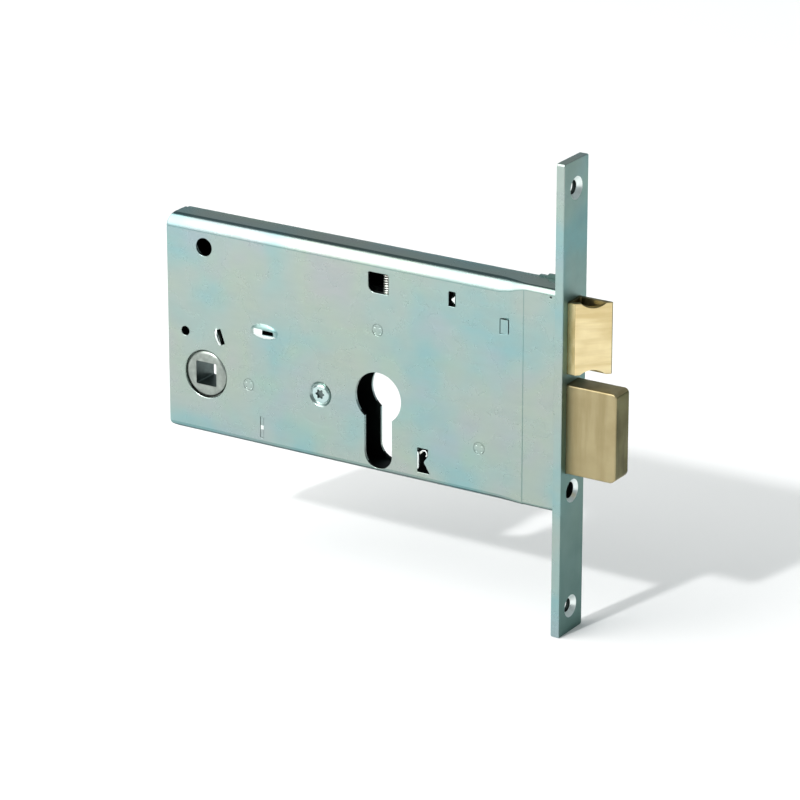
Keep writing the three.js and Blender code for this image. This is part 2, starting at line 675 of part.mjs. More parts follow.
const deadbolt = new THREE.Group();
deadbolt.add(
  named('deadbolt_head', deadboltHead(), nickelBrass),
  named('deadbolt_tail', deadboltTail(), blankSteel),
  at(named('bolt_stump', rodY(0, 0, STUMP.radius, -4, 1, 20), blankSteel), STUMP.x, STUMP.z),
  at(named('deadbolt_rivet_upper', boltRivet(), blankSteel), DEADBOLT_RIVETS.x, DEADBOLT_RIVETS.upperZ),
  at(named('deadbolt_rivet_lower', boltRivet(), blankSteel), DEADBOLT_RIVETS.x, DEADBOLT_RIVETS.lowerZ),
);

const tumbler = new THREE.Group();
tumbler.add(named('tumbler', tumblerPlate(), blankSteel));

lock.add(fixed, springs, latch, link, follower, deadbolt, tumbler);

export default lock;
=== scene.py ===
import json
from math import asin, atan2, cos, degrees, hypot, pi, radians, sin, sqrt, tan

import bmesh
import bpy
import numpy as np
from mathutils import Matrix, Vector
from mathutils.geometry import delaunay_2d_cdt


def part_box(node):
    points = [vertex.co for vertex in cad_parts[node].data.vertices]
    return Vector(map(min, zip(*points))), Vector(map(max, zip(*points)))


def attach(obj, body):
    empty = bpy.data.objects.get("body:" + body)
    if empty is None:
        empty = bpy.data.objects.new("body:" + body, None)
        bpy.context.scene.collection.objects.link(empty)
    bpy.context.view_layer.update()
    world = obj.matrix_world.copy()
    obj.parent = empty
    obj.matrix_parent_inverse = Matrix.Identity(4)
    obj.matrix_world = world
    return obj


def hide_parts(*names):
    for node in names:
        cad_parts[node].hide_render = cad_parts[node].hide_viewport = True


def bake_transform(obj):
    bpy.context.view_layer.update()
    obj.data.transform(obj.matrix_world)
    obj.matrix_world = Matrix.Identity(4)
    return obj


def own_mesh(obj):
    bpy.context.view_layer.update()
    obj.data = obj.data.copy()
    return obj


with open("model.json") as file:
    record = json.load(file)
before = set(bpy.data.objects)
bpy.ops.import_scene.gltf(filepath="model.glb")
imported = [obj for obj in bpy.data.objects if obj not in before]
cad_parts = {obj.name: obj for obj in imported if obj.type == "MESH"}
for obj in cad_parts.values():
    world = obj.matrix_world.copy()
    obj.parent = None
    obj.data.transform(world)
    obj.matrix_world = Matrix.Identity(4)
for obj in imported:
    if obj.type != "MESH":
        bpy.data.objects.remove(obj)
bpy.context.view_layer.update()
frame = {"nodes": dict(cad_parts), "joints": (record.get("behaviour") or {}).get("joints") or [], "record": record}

# A mortise lock in zinc-plated steel. Shapes are written in millimetres in the frame of the packed
# model (x out of the forend, y to the back of the case, z up) and turned into metres by new_piece().

MM = 0.001


# ---- sizes read from the frame

def node_box(node):
    low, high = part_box(node)
    return low / MM, high / MM


def node_middle(node):
    low, high = node_box(node)
    return (low + high) / 2


MOUNTS = {m["name"]: Vector(m["pos_m"]) / MM for m in frame["record"]["mounts"]}
FACE_Y = MOUNTS["case_front_face"].y
REAR_Y = MOUNTS["case_back_face"].y
CASE_LOW, CASE_HIGH = node_box("case_shell")
COVER_HIGH = node_box("back_cover")[1]
FOREND_LOW, FOREND_HIGH = node_box("forend")
JOINTS = {j["name"]: j for j in frame["joints"]}
FOLLOWER_AXIS = Vector(JOINTS["follower_turn"]["pos_m"]) / MM
OPENINGS = {o["name"]: o["box_m"] for o in frame["record"]["physics"]["openings"]}
SCREW = node_middle("cover_screw")

# ---- sizes of the finer shapes

SHEET = 1.0
EDGE = 0.16
TOP_BEND = 4.2
BOTTOM_BEND = 2.0
NOSE_TOP_BEND = 1.9
NOSE_LOW_BEND = 1.2
NOSE_START = (-24.5, -14.5)
CREASE_X = -15.5
CREASE_DEPTH = 0.25
CREASE_HALF = 0.16
CREASE_END = 1.0
CREASE_FADE = 2.5
LEFT_CORNER = 2.4
BACKSET = 70
KEYHOLE = {"z": -19.6, "radius": 8.75, "slot_half": 5.25, "slot_z": -39.0}
JOURNAL = 8.18
SQUARE = 8.1
DISH = {"radius": 4.5, "floor": 3.45, "depth": 0.8, "hole": 2.2}
IMPRINT = {"radius": 11, "half": 0.7, "depth": 0.05, "fade": 6}
LUG = {"x": -114.3, "z": -5.0, "half_x": 5.3, "half_z": 2.4, "height": 0.8}
SLIT = {"x": -131.7, "z": -10.1, "lean": 110, "lip": -1.15, "half_long": 3.3, "half_wide": 1.3,
        "height": 0.9}
ANCHOR = {"x": (-116.3, -115.1), "z": (-42.7, -39.7, -38.3, -35.3)}
TENON = {"x": (-24, -21), "z": (11.4, 16.4)}
SOCKET_FLOOR = 1.05
SMALL_HOLE = (-146, -10.5, 1.6)
ROSE_HOLE_RADIUS = 3.1
POST_HOLE_RADIUS = 2.02
SEAT_SLOT = (-43.3, -40.7, 17.1, 22.1)
STAY_SLOT = (-116.4, -115, -42.8, -35.2)
NOSE_HOLES = [(-5.6, 24.6, 0.32), (-3.8, -43.0, 0.32)]
POSTS = ["bolt_guide_post", "bolt_front_post", "spring_post"]
BOLT_HALF = 4.2
BOLT_GAP = 0.12
MITRE_LIMIT = 0.3
SHARP_ANGLE = 40
TOP_SEAM = 0.6
TAIL_SLOT_HALF = 1.05
RIVET_RADIUS = 1.85
COUNTERSINKS = [(62.5, 2.3, 3.7), (-79.2, 2.3, 3.7), (-39.1, 2.7, 3.8)]


# ---- outlines

def arc(cx, cy, radius, start, end, steps):
    angles = [radians(start + (end - start) * i / steps) for i in range(steps + 1)]
    return [(cx + radius * cos(a), cy + radius * sin(a)) for a in angles]


def circle(cx, cy, radius, sides=64):
    return arc(cx, cy, radius, 0, 360, sides)[:-1]


def fillet(corners, step=9):
    """Corners (x, y, radius) to points, each radius an arc tangent to both of its sides."""
    points = []
    for i, corner in enumerate(corners):
        here = Vector(corner[:2])
        radius = corner[2] if len(corner) > 2 else 0
        if radius == 0:
            points.append(tuple(here))
            continue
        back = (Vector(corners[i - 1][:2]) - here).normalized()
        ahead = (Vector(corners[(i + 1) % len(corners)][:2]) - here).normalized()
        half = back.angle(ahead) / 2
        centre = here + (back + ahead).normalized() * radius / sin(half)
        reach = radius / tan(half)
        first = here + back * reach - centre
        last = here + ahead * reach - centre
        start = degrees(atan2(first.y, first.x))
        turn = (degrees(atan2(last.y, last.x)) - start + 180) % 360 - 180
        steps = max(2, round(abs(turn) / step))
        points += arc(centre.x, centre.y, radius, start, start + turn, steps)
    return points


def rectangle(x0, x1, y0, y1, radius=0.3):
    return fillet([(x0, y0, radius), (x1, y0, radius), (x1, y1, radius), (x0, y1, radius)])


def turned(points, left):
    """The loop, running with its material on the left if left is true."""
    p = np.array(points)
    q = np.roll(p, -1, axis=0)
    runs_left = np.sum(p[:, 0] * q[:, 1] - q[:, 0] * p[:, 1]) > 0
    return list(points) if runs_left == left else list(points)[::-1]


def offset(points, distance):
    """The loop moved to its left by distance, with mitred corners."""
    p = np.array(points, float)
    ahead = np.roll(p, -1, axis=0) - p
    ahead /= np.linalg.norm(ahead, axis=1)[:, None]
    normal = np.column_stack([-ahead[:, 1], ahead[:, 0]])
    before = np.roll(normal, 1, axis=0)
    scale = 1 + np.sum(normal * before, axis=1)
    return p + distance * (normal + before) / np.maximum(scale, MITRE_LIMIT)[:, None]


def soft_edge(thick, radius=EDGE, back_radius=None, steps=3):
    """Rim of a plate as (inset, depth) pairs, both of its edges rounded."""
    back_radius = radius if back_radius is None else back_radius
    turns = [pi / 2 * i / steps for i in range(steps + 1)]
    front = [(radius * (1 - sin(t)), radius * (1 - cos(t))) for t in turns]
    back = [(back_radius * (1 - cos(t)), thick - back_radius * (1 - sin(t))) for t in turns]
    return front + back


def inside(points, loops):
    """Which points are in the material: inside the outline and outside every hole."""
    p = np.array(points, float)
    crossings = np.zeros(len(p), int)
    for loop in loops:
        a = np.array(loop, float)
        for (x0, y0), (x1, y1) in zip(a, np.roll(a, -1, axis=0)):
            spans = (y0 > p[:, 1]) != (y1 > p[:, 1])
            if spans.any():
                at = x0 + (p[:, 1] - y0) * (x1 - x0) / (y1 - y0 if y1 != y0 else 1)
                crossings += spans & (p[:, 0] < at)
    return crossings % 2 == 1


def fill(loops, struts, dots):
    """Triangles of the flat region inside the first loop and outside the others."""
    coords, edges = [], []
    for loop in loops:
        start, count = len(coords), len(loop)
        coords += [Vector(c) for c in loop]
        edges += [(start + i, start + (i + 1) % count) for i in range(count)]
    edges += struts
    rims = len(coords)
    coords += [Vector(d) for d in dots]
    points, _, triangles, sources, _, _ = delaunay_2d_cdt(coords, edges, [], 0, 1e-5, True)
    middles = [sum((points[i] for i in t), Vector((0, 0))) / 3 for t in triangles]
    kept = [t for t, keep in zip(triangles, inside(middles, loops)) if keep]
    rim_of = {i: min(s) for i, s in enumerate(sources) if s and min(s) < rims}
    return points, kept, rim_of


def clear_dots(dots, loops, gap=0.22):
    """The dots that are in the material and not next to an edge."""
    rims = np.concatenate([np.array(loop, float) for loop in loops])
    dots = [d for d, keep in zip(dots, inside(dots, loops)) if keep]
    return [d for d in dots if np.min(np.hypot(rims[:, 0] - d[0], rims[:, 1] - d[1])) > gap]


def plate(loops, place, struts=(), dots=()):
    """Closed mesh of a plate with holes. Each loop is (points, rim profile), the outline first;
    struts join outline points across the plate and dots are points that it bends at."""
    loops = [(turned(points, i == 0), profile) for i, (points, profile) in enumerate(loops)]
    verts, faces, rings = [], [], []
    for points, profile in loops:
        rows = []
        for inset, depth in profile:
            rows.append(range(len(verts), len(verts) + len(points)))
            verts += [place(u, v, depth) for u, v in offset(points, inset)]
        for row, below in zip(rows, rows[1:]):
            for i in range(len(points)):
                j = (i + 1) % len(points)
                faces.append((row[i], row[j], below[j], below[i]))
        rings.append(rows)
    for side in (0, -1):
        flat = [offset(points, profile[side][0]) for points, profile in loops]
        rim_ids = [i for rows in rings for i in rows[side]]
        depth = loops[0][1][side][1]
        spare = clear_dots(dots, flat) if len(dots) else []
        points, triangles, rim_of = fill([[tuple(c) for c in f] for f in flat], list(struts), spare)
        ids = {i: rim_ids[rim] for i, rim in rim_of.items()}
        for triangle in triangles:
            for i in triangle:
                if i not in ids:
                    ids[i] = len(verts)
                    verts.append(place(points[i].x, points[i].y, depth))
            faces.append(tuple(ids[i] for i in triangle))
    return verts, faces


def lathe(profile, sides=64):
    """Closed mesh turned about the Y axis from (radius, y) pairs that start and end on the axis."""
    verts, faces, rows = [], [], []
    for radius, y in profile:
        if radius < 1e-6:
            rows.append([len(verts)] * sides)
            verts.append((0, y, 0))
            continue
        rows.append(list(range(len(verts), len(verts) + sides)))
        for i in range(sides):
            angle = 2 * pi * i / sides
            verts.append((radius * cos(angle), y, radius * sin(angle)))
    for row, after in zip(rows, rows[1:]):
        for i in range(sides):
            j = (i + 1) % sides
            faces.append(tuple(dict.fromkeys((row[i], row[j], after[j], after[i]))))
    return verts, [f for f in faces if len(f) > 2]


def heading(path, i):
    """Direction of a path of vectors at its point i."""
    return (path[min(i + 1, len(path) - 1)] - path[max(i - 1, 0)]).normalized()


def wire(path, radius, sides=12):
    """Round wire along a list of points, with both ends closed."""
    path = [Vector(p) for p in path]
    verts, faces = [], []
    across = (path[1] - path[0]).orthogonal().normalized()
    for i, point in enumerate(path):
        along = heading(path, i)
        across = (across - along * across.dot(along)).normalized()
        other = along.cross(across)
        for k in range(sides):
            angle = 2 * pi * k / sides
            verts.append(point + radius * (across * cos(angle) + other * sin(angle)))
    for i in range(len(path) - 1):
        for k in range(sides):
            j = (k + 1) % sides
            a, b = i * sides, (i + 1) * sides
            faces.append((a + k, a + j, b + j, b + k))
    faces.append(tuple(range(sides))[::-1])
    faces.append(tuple(range(len(verts) - sides, len(verts))))
    return verts, faces


def facing_front(front):
    """Places a flat outline (x, z) with its face at the depth front, looking to -y."""
    return lambda u, v, depth: (u, front + depth, v)


def mirrored(profile):
    """The front half of a (radius, y) profile with its back half."""
    return profile + [(radius, -y) for radius, y in profile[::-1]]


def moved(shape, x=0, y=0, z=0):
    verts, faces = shape
    return [Vector(v) + Vector((x, y, z)) for v in verts], faces


# ---- pieces

def add_object(name, data):
    added = bpy.data.objects.new(name, data)
    bpy.context.scene.collection.objects.link(added)
    return added


def new_piece(name, shape):
    """A mesh object from (vertices in millimetres, faces)."""
    verts, faces = shape
    mesh = bpy.data.meshes.new(name)
    mesh.from_pydata([Vector(v) * MM for v in verts], [], faces)
    work = bmesh.new()
    work.from_mesh(mesh)
    bmesh.ops.remove_doubles(work, verts=work.verts, dist=1e-7)
    bmesh.ops.recalc_face_normals(work, faces=work.faces)
    work.to_mesh(mesh)
    work.free()
    return add_object(name, mesh)


def even_normals(piece, keep_sharp):
    normals = piece.modifiers.new("even_normals", "WEIGHTED_NORMAL")
    normals.keep_sharp = keep_sharp
    normals.weight = 80


def join(base, other, operation="UNION"):
    """Joins other to base and uses other up."""
    tool = base.modifiers.new("tool", "BOOLEAN")
    tool.operation = operation
    tool.solver = "EXACT"
    tool.object = other
    depsgraph = bpy.context.evaluated_depsgraph_get()
    mesh = bpy.data.meshes.new_from_object(base.evaluated_get(depsgraph))
    base.modifiers.clear()
    base.data = mesh
    bpy.data.objects.remove(other)


def cut(base, other):
    """Cuts other out of base and uses other up."""
    join(base, other, "DIFFERENCE")


def merge_flat_faces(piece):
    """Merges the faces that cutting left in one plane."""
    work = bmesh.new()
    work.from_mesh(piece.data)
    bmesh.ops.dissolve_limit(work, angle_limit=radians(1), verts=work.verts, edges=work.edges)
    work.to_mesh(piece.data)
    work.free()


def round_edges(piece, width, angle):
    """Rounds the piece's edges that are sharper than angle."""
    bevel = piece.modifiers.new("edges", "BEVEL")
    bevel.width = width * MM
    bevel.segments = 2
    bevel.limit_method = "ANGLE"
    bevel.angle_limit = radians(angle)


def paint(piece, finish):
    piece.data.materials.clear()
    piece.data.materials.append(FINISHES[finish])


def dress(piece, slot, nodes=(), finish=None):
    """Gives the piece smooth shading that keeps flat faces flat and the finish named by its slot unless
    another is named, and hides the CAD nodes that it stands for."""
    piece.data.shade_smooth()
    piece.data.set_sharp_from_angle(angle=radians(SHARP_ANGLE))
    even_normals(piece, True)
    paint(piece, finish or slot)
    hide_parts(*nodes)
    return piece


def place_piece(piece, body, slot, nodes=(), finish=None):
    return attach(dress(piece, slot, nodes, finish), body)


def repaint(piece, finish, chosen):
    """Gives another finish to the faces that chosen(middle, normal) picks, middle in millimetres."""
    mesh = piece.data
    mesh.materials.append(FINISHES[finish])
    for face in mesh.polygons:
        if chosen(face.center / MM, face.normal):
            face.material_index = len(mesh.materials) - 1


def faces_inward(middle, normal):
    """True on the inner side of the case's sheets."""
    if middle.z > CASE_HIGH.z - TOP_SEAM:
        return False
    if abs(normal.y) > 0.6:
        return normal.y * middle.y < 0 and abs(middle.y) > 2
    return abs(normal.z) > 0.6 and normal.z * (middle.z - (CASE_LOW.z + CASE_HIGH.z) / 2) < 0


# ---- case shell

TOP_S = CASE_HIGH.z - TOP_BEND
LOW_S = CASE_LOW.z + BOTTOM_BEND
TOP_ARC = TOP_BEND * pi / 2
LOW_ARC = BOTTOM_BEND * pi / 2
FLANGE_END = REAR_Y - SHEET
S_MAX = TOP_S + TOP_ARC + FLANGE_END - FACE_Y - TOP_BEND
S_MIN = LOW_S - LOW_ARC - (FLANGE_END - FACE_Y - BOTTOM_BEND)


def smooth_step(t):
    t = min(max(t, 0), 1)
    return t * t * (3 - 2 * t)


def lug_place(x, z):
    """Squared distance from the middle of the oval lug, 1 on its outline."""
    return ((x - LUG["x"]) / LUG["half_x"]) ** 2 + ((z - LUG["z"]) / LUG["half_z"]) ** 2


def slit_place(x, z):
    """Distances from the middle of the slanted slit, along it and to its right."""
    lean = radians(SLIT["lean"])
    dx, dz = x - SLIT["x"], z - SLIT["z"]
    return (dx * cos(lean) + dz * sin(lean), dx * sin(lean) - dz * cos(lean))


def face_relief(x, z):
    """How far the face stands out of its plane: the stamped lug, the lip of the slanted slit, the
    dished screw seat and the faint ring that the pillar pressed round it."""
    out = LUG["height"] * max(1 - lug_place(x, z), 0) ** 0.6
    along, side = slit_place(x, z)
    q = (along / SLIT["half_long"]) ** 2 + ((side - SLIT["lip"]) / SLIT["half_wide"]) ** 2
    if q < 1 and side < 0:
        out += SLIT["height"] * (1 - q)
    reach = hypot(x - SCREW.x, z - SCREW.z)
    out -= DISH["depth"] * smooth_step((DISH["radius"] - reach) / (DISH["radius"] - DISH["floor"]))
    if z < SCREW.z:
        ring = max(0, 1 - abs(reach - IMPRINT["radius"]) / IMPRINT["half"])
        out -= IMPRINT["depth"] * ring * smooth_step((SCREW.z - z) / IMPRINT["fade"])
    return out


def fold_shell(x, s, depth):
    """A point of the flat blank, s measured round the section, to its place on the folded case."""
    crease = smooth_step((x - CREASE_X + CREASE_HALF) / (2 * CREASE_HALF))
    face = FACE_Y + CREASE_DEPTH * crease * smooth_step((TOP_S - CREASE_END - s) / CREASE_FADE)
    nose = smooth_step((x - NOSE_START[0]) / (NOSE_START[1] - NOSE_START[0]))
    top = TOP_BEND + (NOSE_TOP_BEND - TOP_BEND) * nose
    low = BOTTOM_BEND + (NOSE_LOW_BEND - BOTTOM_BEND) * nose
    for past, bend, length, limit, edge, sign in (
        (s - TOP_S, top, TOP_ARC, S_MAX - TOP_S, CASE_HIGH.z, 1),
        (LOW_S - s, low, LOW_ARC, LOW_S - S_MIN, CASE_LOW.z, -1),
    ):
        if past > length:
            share = (past - length) / (limit - length)
            y = face + bend + share * (FLANGE_END - face - bend)
            return x, y, edge - sign * depth
        if past > 0:
            angle = past / length * pi / 2
            radius = bend - depth
            y = face + bend - radius * cos(angle)
            return x, y, edge - sign * (bend - radius * sin(angle))
    z_top, z_low = CASE_HIGH.z - top, CASE_LOW.z + low
    z = z_low + (s - LOW_S) / (TOP_S - LOW_S) * (z_top - z_low)
    return x, face + depth - face_relief(x, z), z


def keyhole():
    neck, radius = KEYHOLE["slot_half"], KEYHOLE["radius"]
    spread = degrees(asin(neck / radius))
    return (arc(-BACKSET, KEYHOLE["z"], radius, -90 + spread, 270 - spread, 56)
            + arc(-BACKSET, KEYHOLE["slot_z"], neck, -180, 0, 28))


def shared_holes():
    """Cut-outs that the face and the back cover both have."""
    rose = OPENINGS["rose_screw_hole"]
    rose_z = (rose[0][2] + rose[1][2]) / 2 / MM
    leaf_slot = [(-55, -42.2, 0.2), (-50.2, -42.2, 0.2), (-52.6, -38.4, 0.8), (-50.9, -36, 0.8),
                 (-50.9, -33.7, 0.2), (-55, -33.7, 0.3)]
    posts = [node_middle(post) for post in POSTS]
    return [
        keyhole(),
        circle(FOLLOWER_AXIS.x, rose_z, ROSE_HOLE_RADIUS, 48),
        circle(*SMALL_HOLE, 32),
        rectangle(*SEAT_SLOT, 0.4),
        fillet(leaf_slot),
        *(circle(post.x, post.z, POST_HOLE_RADIUS, 40) for post in posts),
    ]


def soft_holes():
    """Cut-outs of both sheets whose front edges are drawn in: round the follower and the tenon."""
    return [
        circle(FOLLOWER_AXIS.x, FOLLOWER_AXIS.z, JOURNAL + 0.1, 96),
        rectangle(*TENON["x"], *TENON["z"], 0.15),
    ]


def face_holes():
    window = [(-73.7, 16.5, 2.6), (-65.9, 16.5, 0.5), (-65.9, 23.4, 0.8), (-73.7, 23.4, 0.5)]
    slit = [(-133.2, -7.9, 0.2), (-131.4, -12.9, 0.2), (-130.2, -12.3, 0.2), (-132, -7.3, 0.2)]
    mouth = [(-114.7, -5.9, 0.3), (-110.6, -5.9, 0.3), (-110.6, -4.5, 0.5), (-114.7, -4.3, 0.6)]
    return [
        *(fillet(hole) for hole in (window, slit, mouth)),
        rectangle(*STAY_SLOT, 0.3),
        circle(SCREW.x, SCREW.z, DISH["hole"], 48),
        *(circle(*hole, 16) for hole in NOSE_HOLES),
    ]


def shell_outline():
    """The blank's outline with a point at each end of every bend line, and those lines as pairs."""
    low_steps, top_steps, corner_steps = 8, 14, 5
    bends = [LOW_S - LOW_ARC * i / low_steps for i in range(low_steps + 1)]
    bends += [TOP_S + TOP_ARC * i / top_steps for i in range(top_steps + 1)]
    corner_top = CASE_LOW.z + LEFT_CORNER
    heights = bends + [corner_top - LEFT_CORNER * i / corner_steps for i in range(corner_steps + 1)]
    heights = sorted(set(round(h, 4) for h in heights))
    creases = [CREASE_X + CREASE_HALF * k / 2 for k in (-2, -1, 0, 1, 2)]
    past_tenon = TENON["x"][1] + 0.5
    creases += [past_tenon + (NOSE_START[1] - past_tenon) * i / 7 for i in range(8)]
    creases = sorted(creases + [NOSE_START[0]])
    top_cut = 0.8

    def left_edge(s):
        low = min(max((corner_top - s) / LEFT_CORNER, 0), 1)
        high = smooth_step((s - TOP_S) / TOP_ARC)
        return CASE_LOW.x + LEFT_CORNER * (1 - sqrt(1 - low * low)) + top_cut * high

    right = CASE_HIGH.x
    bottom = [(left_edge(S_MIN), S_MIN)] + [(x, S_MIN) for x in creases] + [(right, S_MIN)]
    top = [(right, S_MAX)] + [(x, S_MAX) for x in creases[::-1]] + [(left_edge(S_MAX), S_MAX)]
    points = bottom + [(right, s) for s in heights] + top + [(left_edge(s), s) for s in heights[::-1]]
    first_right, first_left = len(bottom), len(bottom) + len(heights) + len(top)
    struts = []
    for i, s in enumerate(heights):
        if any(abs(s - b) < 1e-3 for b in bends):
            struts.append((first_right + i, first_left + len(heights) - 1 - i))
    for i in range(len(creases)):
        struts.append((1 + i, first_left - 2 - i))
    return points, struts


def relief_dots():
    """Points close enough together to carry the face's raised and dished places."""
    dots = []
    round_lug = (LUG["x"] - 5.6, LUG["x"] + 5.6, LUG["z"] - 2.9, LUG["z"] + 2.9, 0.34)
    round_slit = (-134.8, -129.6, -13.9, -7.0, 0.3)
    for x0, x1, z0, z1, pitch in (round_lug, round_slit):
        for i in range(int((x1 - x0) / pitch) + 1):
            for k in range(int((z1 - z0) / pitch) + 1):
                dots.append((x0 + (i + 0.5 * (k % 2)) * pitch, z0 + k * pitch))
    steps = 10
    radii = [DISH["floor"] + (DISH["radius"] - DISH["floor"]) * i / steps for i in range(steps + 1)]
    for radius in [2.6, 3.0] + radii + [4.7]:
        dots += circle(SCREW.x, SCREW.z, radius, 72)
    for share in (-1, -0.5, 0, 0.5, 1):
        radius = IMPRINT["radius"] + share * IMPRINT["half"]
        dots += arc(SCREW.x, SCREW.z, radius, 180, 360, 60)
    return dots


def case_shell():
    outline, struts = shell_outline()
    rim = soft_edge(SHEET, 0.3, 0.12)
    holes = [(hole, soft_edge(SHEET, EDGE, 0.1)) for hole in shared_holes() + face_holes()]
    holes += [(hole, soft_edge(SHEET, 0.42, 0.1, 4)) for hole in soft_holes()]
    shape = plate([(outline, rim)] + holes, fold_shell, struts, relief_dots())
    shell = place_piece(new_piece("shell_sheet", shape), "case", "case_zinc", ["case_shell"])
    # Painted shade: the inner side of the sheets is near black.
    repaint(shell, "oiled_sheet", faces_inward)
    # Painted shade and dark reflections beside the bends, on the crease and on the lug's top.
    repaint(shell, "dull_zinc", painted_shade_places)
    # Painted deep shade and dark reflections: the lower bend, a line along the upper one, the tenon's gap.
    repaint(shell, "deep_zinc", painted_deep_shade_places)
    # Painted highlights on the slit's lip and on the lug's lower and left sides.
    repaint(shell, "bright_zinc", painted_highlight_places)


def painted_shade_places(middle, normal):
    """Places painted darker as shade and dark reflections: next to both bends, on the crease and on the lug's
    upper side.
    """
    if middle.z > TOP_S - 0.5 and 0.02 < normal.z < 0.09:
        return normal.y < 0
    if middle.z < LOW_S and -0.4 < normal.z < -0.02:
        return normal.y < 0
    if abs(middle.x - CREASE_X) < CREASE_HALF and middle.z < TOP_S and abs(normal.y) > 0.5:
        return middle.y < 0
    on_lug = abs(middle.x - LUG["x"]) < LUG["half_x"] and abs(middle.z - LUG["z"]) < LUG["half_z"]
    return on_lug and normal.y < 0 and (normal.z > 0.12 or normal.x > 0.3)


def painted_deep_shade_places(middle, normal):
    """Places painted darkest as shade and dark reflections: the lower bend, a line along the upper one, the
    tenon's gap.
    """
    if middle.z < LOW_S and normal.z < -0.4 and middle.y < FACE_Y + BOTTOM_BEND:
        return True
    if middle.z > TOP_S - 0.5 and 0.9 < normal.z < 0.99:
        return normal.y < 0
    (x0, x1), (z0, z1) = TENON["x"], TENON["z"]
    by_tenon = x0 - 0.5 < middle.x < x1 + 0.5 and z0 - 0.5 < middle.z < z1
    return by_tenon and normal.y > -0.97 and middle.y < 0


def painted_highlight_places(middle, normal):
    """Places with a painted highlight: the slit's lip and the lower and left sides of the lug."""
    if middle.y > FACE_Y + 0.1 or normal.y > -0.3:
        return False
    along, side = slit_place(middle.x, middle.z)
    if abs(along) < SLIT["half_long"] and SLIT["lip"] - 0.6 < side < 0 and middle.y < FACE_Y - 0.25:
        return True
    left = -118.3 < middle.x < -114.7 and -6.6 < middle.z < -4.2
    return lug_place(middle.x, middle.z) < 0.95 and (middle.z < -6.1 or left)


def case_back():
    """Cover of the case, its left end bent forward between the flanges of the shell."""
    bend = 1.5
    turn = bend * pi / 2
    bend_x = CASE_LOW.x + bend
    inset = SHEET + 0.1
    left = bend_x - turn - (REAR_Y - FACE_Y - inset - bend)
    inner_low, inner_high = CASE_LOW.z + inset, CASE_HIGH.z - inset
    ear, step = COVER_HIGH.z, COVER_HIGH.z - 0.7

    def fold(u, v, depth):
        if u > bend_x:
            return u, REAR_Y - depth, v
        if u > bend_x - turn:
            angle = (bend_x - u) / turn * pi / 2
            radius = bend - depth
            y = REAR_Y - bend + radius * cos(angle)
            return bend_x - radius * sin(angle), y, v
        return CASE_LOW.x + depth, REAR_Y - bend - (bend_x - turn - u), v

    bends = [bend_x - turn * i / 6 for i in range(7)]
    chamfer = TOP_BEND - SHEET + 0.2
    low = [(left, inner_low + chamfer), (left + chamfer, inner_low)]
    low += [(x, inner_low) for x in bends[::-1]]
    high = [(x, inner_high) for x in bends]
    high += [(left + chamfer, inner_high), (left, inner_high - chamfer)]
    shoulder = bend_x + 0.5
    ear_end, step_end = -12.4, -15.6
    steps = fillet([(CASE_HIGH.x, ear), (ear_end, ear, 0.3), (ear_end, step, 0.2),
                    (step_end, step, 0.3), (step_end, CASE_HIGH.z, 0.2), (bend_x, CASE_HIGH.z)])
    right = [(shoulder, CASE_LOW.z), (CASE_HIGH.x, CASE_LOW.z), (CASE_HIGH.x, ear), *steps[1:-1],
             (shoulder, CASE_HIGH.z), (shoulder, inner_high)]
    outline = low + [(shoulder, inner_low)] + right + high
    first_high = len(outline) - len(high)
    struts = [(8 - i, first_high + i) for i in range(7)]
    seam_pitch, seam_drop = 0.6, 0.4
    seam = [(-seam_pitch * i, CASE_HIGH.z - seam_drop) for i in range(1, 26)]
    post = node_middle("tumbler_post")
    pillar_radius, post_radius = 2.65, 2.08
    holes = shared_holes() + soft_holes()
    holes += [circle(SCREW.x, SCREW.z, pillar_radius, 40), circle(post.x, post.z, post_radius, 40)]
    holes = [(hole, soft_edge(SHEET, EDGE, 0.1)) for hole in holes]
    shape = plate([(outline, soft_edge(SHEET, 0.2, 0.1))] + holes, fold, struts, seam)
    cover = place_piece(new_piece("cover_sheet", shape), "case", "case_zinc", ["back_cover"])
    # Painted shade along the seam where the cover meets the top flange.
    repaint(cover, "deep_zinc",
            lambda middle, normal: middle.z > CASE_HIGH.z - TOP_SEAM and normal.y < -0.5)
    # Painted shade: the inner side of the sheets is near black.
    repaint(cover, "oiled_sheet", faces_inward)


# ---- forend

def forend():
    thick = FOREND_HIGH.x - FOREND_LOW.x
    half = BOLT_HALF + BOLT_GAP
    outline = rectangle(FOREND_LOW.y, FOREND_HIGH.y, FOREND_LOW.z, FOREND_HIGH.z, 0.8)
    loops = [(outline, soft_edge(thick, 0.32, 0.2, 4))]
    for bolt in ("latch_head", "deadbolt_head"):
        low, high = node_box(bolt)
        opening = rectangle(-half, half, low.z - BOLT_GAP, high.z + BOLT_GAP, 0.5)
        loops.append((opening, soft_edge(thick, 0.2)))
    for z, radius, sink in COUNTERSINKS:
        slope = sink - radius
        rim = [(slope + 0.14, 0), (slope + 0.04, 0.03), (slope - 0.05, 0.1), (0.06, slope - 0.02),
               (0, slope + 0.08), (0, thick - 0.15), (0.05, thick - 0.04), (0.15, thick)]
        loops.append((circle(0, z, radius, 56), rim))
    shape = plate(loops, lambda u, v, depth: (FOREND_HIGH.x - depth, u, v))
    strip = place_piece(new_piece("forend_strip", shape), "case", "forend_zinc", ["forend"])
    # Painted shade: the forend's outer face is darker, and darker still towards its lower end.
    repaint(strip, "forend_face", lambda middle, normal: normal.x > 0.97)
    # Painted highlight on the cones of the countersunk holes.
    repaint(strip, "bright_zinc",
            lambda middle, normal: 0.3 < normal.x < 0.95 and in_sink(middle))
    # Painted shade: the walls of the countersunk holes are near black.
    repaint(strip, "oiled_sheet",
            lambda middle, normal: abs(normal.x) < 0.2 and in_sink(middle))


def in_sink(middle):
    """True inside the countersunk holes of the forend."""
    return any(hypot(middle.y, middle.z - z) < sink for z, _, sink in COUNTERSINKS)


# ---- screw, posts and brackets

